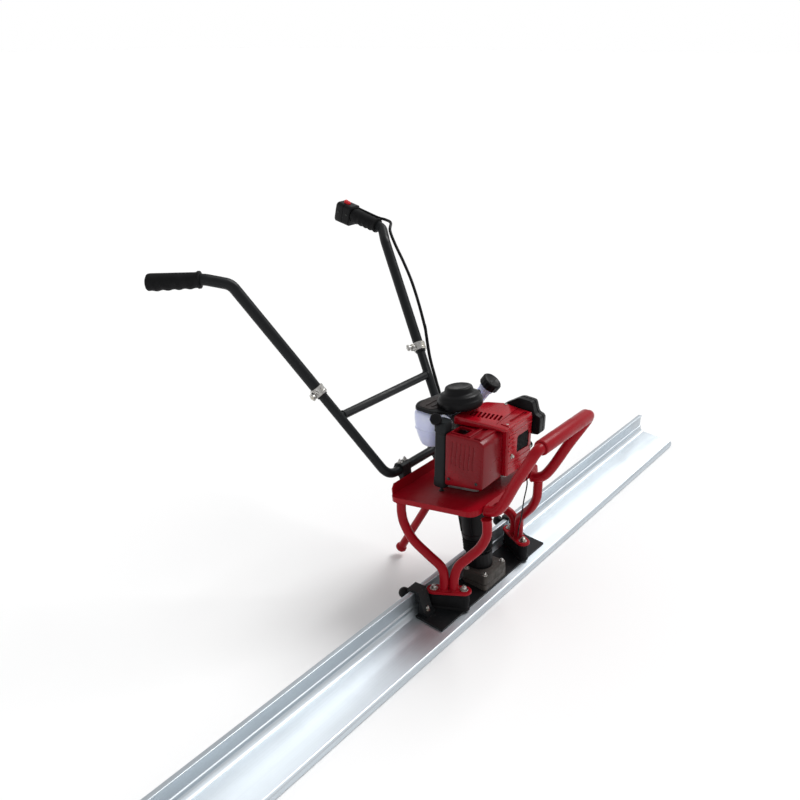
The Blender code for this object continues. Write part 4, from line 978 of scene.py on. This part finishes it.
def build_recoil_cover():
    """Stepped starter cover with a domed cap, and a tongue over the tank with its dark top plate."""
    profile = [(0.1715, 0.0285), (0.1725, 0.0300), (0.1762, 0.0300), (0.1772, 0.0470), (0.1785, 0.0486),
               (0.1830, 0.0503), (0.1880, 0.0505), (0.1922, 0.0504), (0.1938, 0.0496), (0.1955, 0.0474),
               (0.1990, 0.0462), (0.2028, 0.0452), (0.2045, 0.0440), (0.2068, 0.0392), (0.2082, 0.0352),
               (0.2098, 0.0332), (0.2130, 0.0320), (0.2178, 0.0306), (0.2200, 0.0296), (0.2214, 0.0284),
               (0.2222, 0.0262), (0.2225, 0.0235), (0.2219, 0.0215), (0.2219, 0.0030)]
    centre = (0, STARTER_SHIFT, 0)
    cover = Shape(CRANK).turned(centre, Z_AXIS, profile, 64).object("starter_cover", BLACK_PLASTIC)
    tongue = soften([(-0.0430, 0.0700), (0.0400, 0.0700), (0.046, 0.150), (-0.040, 0.164), (-0.067, 0.152),
                     (-0.070, 0.104)], 0.010, 5)
    middle = Vector((-0.010, 0.112))
    rings = [level(tongue, z, shrink, middle)
             for z, shrink in ((0.4296, 0.985), (0.4302, 1.0), (0.4358, 1.0), (0.4367, 0.985),
                               (0.4370, 0.965))]
    carve(cover, Shape().rings(rings), "UNION")
    round_edges(cover, *COVER_EDGE)
    settle(cover, stands_for=["recoil_cover"])
    plate = Shape()
    inset = soften([(-0.0400, 0.1040), (0.0330, 0.1000), (0.0385, 0.1440), (-0.0380, 0.1560),
                    (-0.0600, 0.1460), (-0.0620, 0.1130)], 0.009, 5)
    plate.prism(inset, "Z", 0.4368, 0.4378)
    for y in (0.1180, 0.1330):
        plate.prism(rounded_box((-0.048, y), (0.030, y + 0.0040), 0.0015, 3), "Z", 0.4376, 0.4390)
    plate.piece("tongue_plate", BROWN_PLASTIC, bevel=BOLT_EDGE)
    grip = Shape(CRANK)
    ring = [(0.0048 * math.cos(a), 0.0068 * math.sin(a)) for a in (math.pi * k / 12 for k in range(24))]
    sizes = ((-0.0160, 0.75), (-0.0145, 1.0), (-0.0080, 0.92), (0, 0.84), (0.0080, 0.92), (0.0145, 1.0),
             (0.0160, 0.75))
    grip.rings([[Vector((0.0565 + x * s, 0.011 + y, 0.191 + z * s)) for x, z in ring] for y, s in sizes])
    grip.piece("starter_handle", BLACK_PLASTIC, "starter_grip", ["recoil_grip"])


def build_tank():
    """Blow-moulded translucent tank with a parting seam, filler neck and domed shoulders."""
    low, high, radius = (-0.063, 0.098), (0.115, 0.168), 0.026
    levels = ((0.3380, 0.022), (0.3392, 0.0175), (0.3420, 0.0140), (0.3480, 0.0112), (0.3580, 0.0080),
              (0.3700, 0.0048), (0.3796, 0.0028), (0.3800, 0.0012), (0.3818, 0.0012), (0.3822, 0.0024),
              (0.3850, 0.0020), (0.4000, 0.0006), (0.4140, 0.0), (0.4185, 0.0010), (0.4220, 0.0034),
              (0.4248, 0.0075), (0.4262, 0.0130))
    rings = []
    for z, shrink in levels:
        outline = rounded_box((low[0] + shrink, low[1] + shrink), (high[0] - shrink, high[1] - shrink),
                              radius - shrink * 0.5, 8)
        rings.append(level(outline, z))
    tank = Shape().rings(rings).object("tank_body", TANK)
    neck = Shape().turned(CAP_SEAT - CAP_AXIS * 0.040, CAP_AXIS,
                          [(0, 0.0150), (0.030, 0.0150), (0.0305, 0.0168), (0.0330, 0.0168),
                           (0.0335, 0.0152), (0.0395, 0.0148)], 36)
    carve(tank, neck, "UNION")
    tank.name = "fuel_tank_shell"
    settle(tank, stands_for=["fuel_tank"])
    cap = Shape().turned(CAP_SEAT, CAP_AXIS,
                         [(GAP, 0.0210), (0.0015, 0.0228), (0.0030, 0.0232), (0.0165, 0.0232)], 144,
                         wave=knurl)
    cap.turned(CAP_SEAT, CAP_AXIS, [(0.0163, 0.0228), (0.0180, 0.0222), (0.0192, 0.0208), (0.0195, 0.0185),
                                    (0.0186, 0.0172), (0.0186, 0.0010)], 48)
    side, up = frame_of(CAP_AXIS)
    corners = ((-0.0160, -0.0026), (0.0160, -0.0026), (0.0160, 0.0026), (-0.0160, 0.0026))
    cap.rings([[CAP_SEAT + CAP_AXIS * z + side * a * s + up * b * s for a, b in corners]
               for z, s in ((0.0178, 1.0), (0.0198, 1.0), (0.0204, 0.9))])
    cap.piece("filler_cap", BLACK_PLASTIC, "fuel_cap", ["fuel_cap"])
    oil = Shape().turned(OIL_SEAT, OIL_AXIS, [(0, 0.0105), (0.0020, 0.0123), (0.0032, 0.0127),
                                              (0.0112, 0.0126), (0.0130, 0.0118), (0.0136, 0.0104),
                                              (0.0130, 0.0092), (0.0130, 0.0010)], 64, wave=lobed)
    oil.piece("oil_filler_cap", BLACK_PLASTIC, "oil_cap", ["oil_cap"])
    collar = Shape().turned(OIL_SEAT - OIL_AXIS * 0.0165, OIL_AXIS,
                            [(0, 0.0085), (0.0090, 0.0090), (0.0105, 0.0112), (0.0150, 0.0114),
                             (0.0162, 0.0100)], 36)
    foot = OIL_SEAT - OIL_AXIS * 0.014
    collar.tube(smooth_path([foot, foot - OIL_AXIS * 0.008, Vector((-0.0740, 0.0790, 0.4180))]), 0.0080, 28)
    collar.piece("oil_filler_neck", GREY_PLASTIC)


def knurl(angle):
    """Fuel cap: square teeth round the rim."""
    return 1.0 + 0.012 * (1 if math.sin(18 * angle) > 0 else -1)


def lobed(angle):
    """Oil cap and air cleaner nut: eight soft lobes."""
    return 1.0 + 0.022 * math.sin(8 * angle)


def build_air_side():
    """Far side: two-step air cleaner cover, carburettor with its lever and primer bulb."""
    outline = [(-0.066, 0.368), (-0.030, 0.364), (0.026, 0.372), (0.030, 0.418), (-0.010, 0.443),
               (-0.044, 0.441), (-0.052, 0.414), (-0.067, 0.409)]
    centre = Vector((-0.018, 0.402))
    cover = Shape()
    rings = []
    for x, inset in ((0.0985, 0.0015), (0.0995, 0.0), (0.1130, 0.0), (0.1135, 0.0020), (0.1150, 0.0020),
                     (0.1155, 0.0), (0.1250, 0.0008), (0.1280, 0.0030), (0.1294, 0.0058), (0.1300, 0.0090)):
        ring = []
        for p in soften(outline, 0.007, 5):
            pull = (centre - Vector((p[0], p[1]))).normalized() * inset
            ring.append(Vector((x, p[0] + pull.x, p[1] + pull.y)))
        rings.append(ring)
    cover.rings(rings)
    for k in range(4):
        z = 0.3820 + 0.0100 * k
        cover.box((0.1285, -0.0400, z), (0.1308, 0.0140, z + 0.0032))
    cover.piece("air_cleaner_shell", BLACK_PLASTIC, stands_for=["air_cleaner_cover"],
                bevel=0.0006)
    knob = Shape().turned((0.1296, -0.022, 0.4280), X_AXIS,
                          [(0, 0.0070), (0.0030, 0.0075), (0.0055, 0.0072), (0.0066, 0.0056)], 60,
                          wave=lobed)
    knob.piece("air_cleaner_nut", BLACK_PLASTIC)
    low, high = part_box("carburettor")
    body = Shape().prism(rounded_box((low.x, low.y), (high.x, high.y), 0.004), "Z", low.z + 0.008, high.z)
    carb = bake(body.object("carburettor_body", CAST, bevel=0.0012))
    extra = Shape()
    extra.turned((0.1115, -0.008, low.z + 0.0002), Z_AXIS,
                 [(0, 0.0095), (0.0010, 0.0105), (0.0078, 0.0112), (0.0100, 0.0112)], 32)
    extra.turned((0.1115, -0.008, high.z - 0.0010), Z_AXIS,
                 [(0, 0.0080), (0.0030, 0.0080), (0.0034, 0.0072)], 28)
    carve(carb, extra, "UNION")
    carve(carb, Shape().rod((0.1115, -0.028, 0.3320), -Y_AXIS, 0.0105, 0.02))
    settle(carb, stands_for=["carburettor"])
    dome = [(0.0030 + 0.0085 * math.sin(a), 0.0088 * math.cos(a) + 0.0002)
            for a in (math.radians(15 * k) for k in range(6))]
    bulb = Shape().turned((0.1115, -0.0325, 0.3320), -Y_AXIS, [(0, 0.0098), (0.0030, 0.0098)] + dome, 32)
    bulb.piece("primer_dome", RUBBER, "primer", ["primer_bulb"])
    lever = [(0.0185, 0.3340), (0.0245, 0.3325), (0.0460, 0.3292), (0.0495, 0.3320), (0.0485, 0.3375),
             (0.0250, 0.3460)]
    arm = Shape().prism(soften(lever, 0.0016), "X", 0.1158, 0.1192)
    for k in range(3):
        arm.box((0.1152, 0.0405 + 0.0026 * k, 0.3320), (0.1158, 0.0417 + 0.0026 * k, 0.3376))
    arm.turned((0.1148, 0.0225, 0.3395), X_AXIS,
               [(0, 0.0042), (0.0010, 0.0048), (0.0052, 0.0048), (0.0056, 0.0040)], 24)
    arm.piece("choke_arm", BLACK_PLASTIC, "choke", ["choke_lever"], bevel=BOLT_EDGE)


def build_engine_details():
    """The plug lead and the two fuel hoses, which the CAD leaves out."""
    lead = run([(0.0480, -0.0440, 0.3040), (0.0520, -0.0500, 0.2980), (0.0560, -0.0560, 0.2930),
                (0.0640, -0.0500, 0.2880), (0.0660, -0.0380, 0.2830)], 0.0030, 16)
    lead.turned((0.0470, -0.0425, 0.3050), (0.5, -0.7, -0.5),
                [(0, 0.0052), (0.003, 0.0058), (0.008, 0.0052), (0.0105, 0.0036)], 24)
    lead.piece("spark_plug_lead", RUBBER)
    hose = run([(-0.0500, 0.1040, 0.4160), (-0.0530, 0.0960, 0.4250), (-0.0545, 0.0840, 0.4275),
                (-0.0540, 0.0720, 0.4235), (-0.0535, 0.0640, 0.4150)], 0.0034)
    hose.piece("fuel_hose", TANK)
    feed = run([(0.0960, 0.1120, 0.3560), (0.1010, 0.0990, 0.3450), (0.1050, 0.0800, 0.3370),
                (0.1060, 0.0560, 0.3300), (0.1060, 0.0300, 0.3290), (0.1060, 0.0170, 0.3320)], 0.0030, 16)
    feed.piece("carburettor_hose", RUBBER)


# ---------------------------------------------------------------- handle

def handle_line(side, t):
    """A point on the straight leg of the handle, from its corner (0) to its bend (1)."""
    return mirrored(HANDLE_CORNER.lerp(HANDLE_BEND, t), side)


def build_handle():
    """Welded lower frame, then each side's sliding tube, clamp and saddle bolts."""
    ends = [handle_line(-1, BAR_END_AT), handle_line(-1, 0), handle_line(1, 0), handle_line(1, BAR_END_AT)]
    bar = Shape().tube(fillet_path(ends, 0.035), BAR_R, 28).object("handle_frame", BLACK_PAINT)
    brace = [handle_line(-1, BRACE_AT), handle_line(1, BRACE_AT)]
    carve(bar, Shape().tube(brace, BAR_R * 0.92, 28), "UNION")
    welds = Shape()
    for side in (-1, 1):
        bead(welds, handle_line(side, BRACE_AT) - X_AXIS * side * 0.0104, X_AXIS, BAR_R * 0.92, 0.0020)
    join(bar, welds.object("welds", BLACK_PAINT), "handle_frame")
    settle(bar, "handle", ["lower_handle"])
    for label, side in SIDES:
        build_upper_handle(label, side)
        build_height_clamp(label, side)
        round_edges(NODES[f"handle_clamp_{label}"], 0.0008, 2)
        y, z = HANDLE_CORNER.y, HANDLE_CORNER.z
        bolts = Shape()
        for x in (-0.009, 0.009):
            bolts.hex_bolt((side * 0.066 + x, y + 0.0020, z + 0.0150), (0, 0.12, 1), 0.0040, stud=0.002)
        bolts.piece(f"saddle_bolts_{label}", ZINC, bevel=BOLT_EDGE)


def build_upper_handle(label, side):
    """Bent sleeve tube, open at its lower mouth."""
    start, bend = handle_line(side, CLAMP_AT), handle_line(side, 1.0)
    root, tip = GRIP_ROOT[side], GRIP_TIP[side]
    axis, grip_axis = (bend - start).normalized(), (tip - root).normalized()
    path = fillet_path([start, bend, root, tip - grip_axis * TUBE_END], BEND_R, 14)
    tube = Shape().tube(path, SLEEVE_R, 32).object(f"handle_tube_{label}", BLACK_PAINT)
    carve(tube, Shape().rod(start - axis * 0.01, axis, BAR_R + GAP, 0.165))
    settle(tube, f"upper_{label}", [f"upper_handle_{label}"])
    build_grip(label, side, root, tip, grip_axis)


def build_height_clamp(label, side):
    """Split collar with its ears, pinch bolt and zinc wing knob."""
    start, bend = handle_line(side, CLAMP_AT), handle_line(side, 1.0)
    axis = (bend - start).normalized()
    ear = -EAR_TOWARDS[side].cross(axis).cross(axis).normalized()
    centre = start + axis * 0.014
    across = axis.cross(ear)
    collar = Shape().turned(start + axis * 0.004, axis, [
        (0, SLEEVE_R + GAP), (0, 0.0152), (0.0010, 0.0160), (0.0060, 0.0160), (0.0066, 0.0154),
        (0.0134, 0.0154), (0.0140, 0.0160), (0.0190, 0.0160), (0.0200, 0.0152),
        (0.0200, SLEEVE_R + GAP)], 44, closed=True)
    for k in (-1, 1):
        low, high = sorted((k * 0.0016, k * 0.0052))
        corners = [(low, -0.0080), (high, -0.0080), (high, 0.0080), (low, 0.0080)]
        collar.rings([[centre + ear * r + across * a + axis * b for a, b in corners]
                      for r in (0.0145, 0.0240)])
    collar.rod(centre + ear * 0.0195 - across * 0.0085, across, 0.0030, 0.0170, 20)
    collar.rod(centre + ear * 0.0150, ear, 0.0034, 0.0105, 20)
    collar.piece(f"split_collar_{label}", ZINC, f"upper_{label}", [f"height_clamp_{label}"],
                 bevel=0.0004)
    knob = Shape().turned(centre + ear * 0.0253, ear,
                          [(0, 0.0046), (0.0030, 0.0050), (0.0090, 0.0050), (0.0106, 0.0040)], 24)
    wing = rounded_box((-0.0082, 0.0036), (0.0082, 0.0112), 0.0030, 5)
    knob.rings([[centre + ear * (0.0253 + along) + axis * a + across * wide for a, along in wing]
                for wide in (-0.0017, 0.0017)])
    knob.piece(f"height_knob_{label}", ZINC, f"height_knob_{label}", [f"clamp_knob_{label}"],
               bevel=0.0005)


def grip_stations(start, stop):
    """Stations along a grip as (distance, radius on top, radius underneath)."""
    stations = [(start, 0.0176, 0.0176), (start + 0.0008, 0.0187, 0.0187), (start + 0.0052, 0.0188, 0.0188),
                (start + 0.0066, 0.0178, 0.0178), (start + 0.0074, 0.0168, 0.0170)]
    steps = 2 * GRIP_WAVES * 5
    reach = stop - start - 0.020
    for k in range(steps + 1):
        share = k / steps
        top = 0.0165 + 0.0035 * share
        low = 0.0179 - 0.0011 * math.cos(2 * math.pi * GRIP_WAVES * share)
        stations.append((start + 0.012 + reach * share, top, low))
    return stations


def egg(centre, axis, top, low, count=32):
    """A ring whose radius runs from top, on its upper side, to low underneath."""
    side, down = frame_of(axis)
    ring = []
    for i in range(count):
        a = 2 * math.pi * i / count
        radius = (top + low) / 2 + (top - low) / 2 * math.sin(a)
        ring.append(centre + radius * (math.cos(a) * side - math.sin(a) * down))
    return ring


def build_grip(label, side, root, tip, axis):
    """Rubber grip with finger waves underneath and a flange; the near one is closed at its end."""
    length = (tip - root).length
    stop = length if side < 0 else length - 0.048
    start = GRIP_START[side]
    stations = grip_stations(start, stop)
    if side < 0:
        stations += [(stop - 0.003, 0.0194, 0.0172), (stop - 0.001, 0.0182, 0.0170),
                     (stop + 0.0014, 0.0140, 0.0150), (stop + 0.0026, 0.0080, 0.0100),
                     (stop + 0.0030, 0.0010, 0.0010)]
    else:
        stations += [(stop - 0.001, 0.0185, 0.0172), (stop, 0.0175, 0.0162)]
    rings = [egg(root + axis * a, axis, top, low) for a, top, low in stations]
    if side > 0:
        bore = SLEEVE_R + GAP
        rings = rings[::-1] + [egg(root + axis * a, axis, bore, bore) for a in (start, stop)]
    grip = Shape().rings(rings, closed=side > 0)
    grip.piece(f"rubber_grip_{label}", RUBBER, f"upper_{label}", [f"grip_{label}"], sharp=50)
    if side > 0:
        build_throttle(root, axis, length)


def build_throttle(root, axis, length):
    """Control box with its split line, lug, trigger on the outer side and red stop rocker on top."""
    start = length - 0.047
    side, down = frame_of(axis)
    up = -down
    rings = []
    for along, grow in ((0, -0.0035), (0.0008, -0.0015), (0.0026, 0), (0.0225, 0), (0.0230, -0.0008),
                        (0.0242, -0.0008), (0.0247, 0), (0.0455, 0), (0.0485, -0.0018), (0.0500, -0.0045)):
        outline = rounded_box((-0.0185 - grow, -0.0290 - grow), (0.0245 + grow, 0.0240 + grow), 0.009)
        rings.append([root + axis * (start + along) + side * a + up * b for a, b in outline])
    housing = Shape().rings(rings).object("throttle_housing", BLACK_PLASTIC)
    depth = length - TUBE_END + GAP - start
    carve(housing, Shape().rod(root + axis * (start - 0.01), axis, SLEEVE_R + GAP, depth + 0.01))
    out = side * math.cos(TRIGGER_DIP) + down * math.sin(TRIGGER_DIP)
    pin = axis.cross(out)
    pivot = root + axis * (start + 0.030) + out * TRIGGER_REACH
    lug = Shape().turned(pivot - pin * 0.0075 - out * 0.006, pin,
                         [(0, 0.0090), (0.001, 0.0100), (0.014, 0.0100), (0.015, 0.0090)], 32)
    carve(housing, lug, "UNION")
    carve(housing, Shape().rod(pivot - pin * 0.0033, pin, 0.0110, 0.0066))
    round_edges(housing, *COVER_EDGE)
    settle(housing, "upper_far", ["throttle_body"])
    path = smooth_path([pivot, pivot + out * 0.002 - axis * 0.018, pivot + out * 0.003 - axis * 0.040,
                        pivot + out * 0.001 - axis * 0.062], 8)
    rings = []
    for k, point in enumerate(path):
        t = k / (len(path) - 1)
        high, wide = 0.0042 - 0.0014 * t, 0.0030 + 0.0015 * min(1.0, 1.6 * t)
        rings.append([point + out * (high * math.sin(a)) + pin * (wide * math.cos(a))
                      for a in (math.pi * i / 10 for i in range(20))])
    Shape().rings(rings).piece("trigger_lever", BLACK_PLASTIC, "trigger", ["throttle_trigger"])
    switch_at = root + axis * (start + 0.026) + up * 0.0242
    rocker = []
    for high, s in ((0.0, 1.0), (0.0040, 0.98), (0.0056, 0.86)):
        rocker.append([switch_at + axis * (a * s) + side * (b * s) + up * (high + 0.15 * a * high / 0.0056)
                       for a, b in rounded_box((-0.0088, -0.0054), (0.0088, 0.0054), 0.0022, 4)])
    switch = Shape().rings(rocker)
    for k in range(3):
        middle = switch_at + axis * (-0.0040 + 0.0040 * k) + up * 0.0050
        switch.rings([[middle + axis * a + side * b + up * h for a, b in
                       ((-0.0007, -0.0038), (0.0007, -0.0038), (0.0007, 0.0038), (-0.0007, 0.0038))]
                      for h in (0, 0.0012)])
    switch.piece("stop_rocker", SWITCH_RED, "stop_switch", ["kill_switch"])
    screws = Shape()
    for along in (0.010, 0.038):
        screws.screw(root + axis * (start + along) - side * 0.0184, -side, 0.0026)
    screws.piece("housing_screws", DARK_STEEL, "upper_far")


# ---------------------------------------------------------------- cables

def build_cables():
    """Throttle cable in two fixed runs with two link pieces that join them; stop wire."""
    meeting = Vector((0.1850, 0.2730, 0.4020))
    upper, lower = (smooth_path(route, CABLE_STEPS) for route in (CABLE_UPPER, CABLE_LOWER))
    for name, path, body in (("throttle_cable_upper", upper, "upper_far"),
                             ("throttle_cable_lower", lower, "frame")):
        cable = Shape().tube(path, CABLE_R, 20)
        cable.piece(f"sheathed_{name}", BLACK_PLASTIC, body, [name])
    high_end, low_end = upper[-1], lower[-1]
    into_high = (upper[-1] - upper[-2]).normalized()
    into_low = (lower[-1] - lower[-2]).normalized()
    route = smooth_path([high_end - into_high * 0.010, high_end, (0.2030, 0.3030, 0.4460), meeting,
                         (0.1750, 0.2570, 0.3820), (0.1650, 0.2370, 0.3550), low_end,
                         low_end - into_low * 0.010], LINK_STEPS)
    half = min(range(len(route)), key=lambda k: (route[k] - meeting).length)
    for name, path, bodies in (("cable_link_high", route[:half + 1][::-1], ("handle", "upper_far")),
                               ("cable_link_low", route[half:][::-1], ("frame", "handle"))):
        link = Shape().tube(path, CABLE_R * 1.03, 20).object(name, BLACK_PLASTIC)
        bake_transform(link)
    wire = Shape().tube(smooth_path(STOP_WIRE, CABLE_STEPS), 0.0015, 12)
    wire.piece("stop_wire_lead", BLACK_PLASTIC, stands_for=["stop_wire"])


# ---------------------------------------------------------------- camera, light and floor

def build_stage():
    """White floor, a dome that is bright at the horizon and softer above, and a wide key light."""
    plan = rounded_box((-FLOOR_HALF, -FLOOR_HALF), (FLOOR_HALF, FLOOR_HALF), 5.0)
    floor = Shape().prism(plan, "Z", -0.02, -0.0002)
    look = Look("pale_floor", (0.93, 0.93, 0.93), 0.8, Specular_IOR_Level=0.1)
    look.mottle((0.88, 0.88, 0.89), 0.06, 0.8, 2)
    floor.object("floor", look.material)
    world = bpy.data.worlds.new("studio")
    world.use_nodes = True
    tree = world.node_tree
    split = tree.nodes.new("ShaderNodeSeparateXYZ")
    tree.links.new(tree.nodes.new("ShaderNodeTexCoord").outputs["Generated"], split.inputs["Vector"])
    fade = tree.nodes.new("ShaderNodeMapRange")
    tree.links.new(split.outputs["Z"], fade.inputs["Value"])
    for name, number in (("From Min", 0.10), ("From Max", 0.25), ("To Min", 1.0), ("To Max", DOME_ABOVE)):
        fade.inputs[name].default_value = number
    tree.nodes["Background"].inputs["Color"].default_value = (1.0, 1.0, 1.0, 1)
    tree.links.new(fade.outputs["Result"], tree.nodes["Background"].inputs["Strength"])
    bpy.context.scene.world = world
    bpy.context.scene.view_settings.view_transform = "Standard"
    lamp = bpy.data.lights.new("key", "SUN")
    lamp.energy = KEY_POWER
    lamp.angle = KEY_WIDTH
    holder = bpy.data.objects.new("key", lamp)
    holder.rotation_euler = Vector(KEY_FROM).to_track_quat("Z", "Y").to_euler()
    bpy.context.collection.objects.link(holder)


def build_camera():
    """The photograph's viewing angle."""
    data = bpy.data.cameras.new("camera")
    data.lens = CAMERA_LENS
    data.sensor_width = 36.0
    camera = bpy.data.objects.new("camera", data)
    camera.location = CAMERA_AT
    camera.rotation_euler = CAMERA_TURN
    bpy.context.collection.objects.link(camera)
    bpy.context.scene.camera = camera


def dress_cad_nodes():
    """Every CAD node gets its slot's material; the nodes that stay shown are seen with it."""
    for row in frame["record"]["subparts"]:
        for slot in NODES[row["node"]].material_slots:
            slot.material = LOOKS_OF_SLOT[row["material_slot"]][0]


for build in (build_stage, build_camera, dress_cad_nodes, build_blade, build_blade_clamps,
              build_feet, build_deck, build_front_loop, build_kickstand, build_drive, build_exciter,
              build_engine_block, build_muffler, build_muffler_cover, build_top_cover,
              build_side_column, build_recoil_cover, build_tank, build_air_side,
              build_engine_details, build_handle, build_cables):
    build()
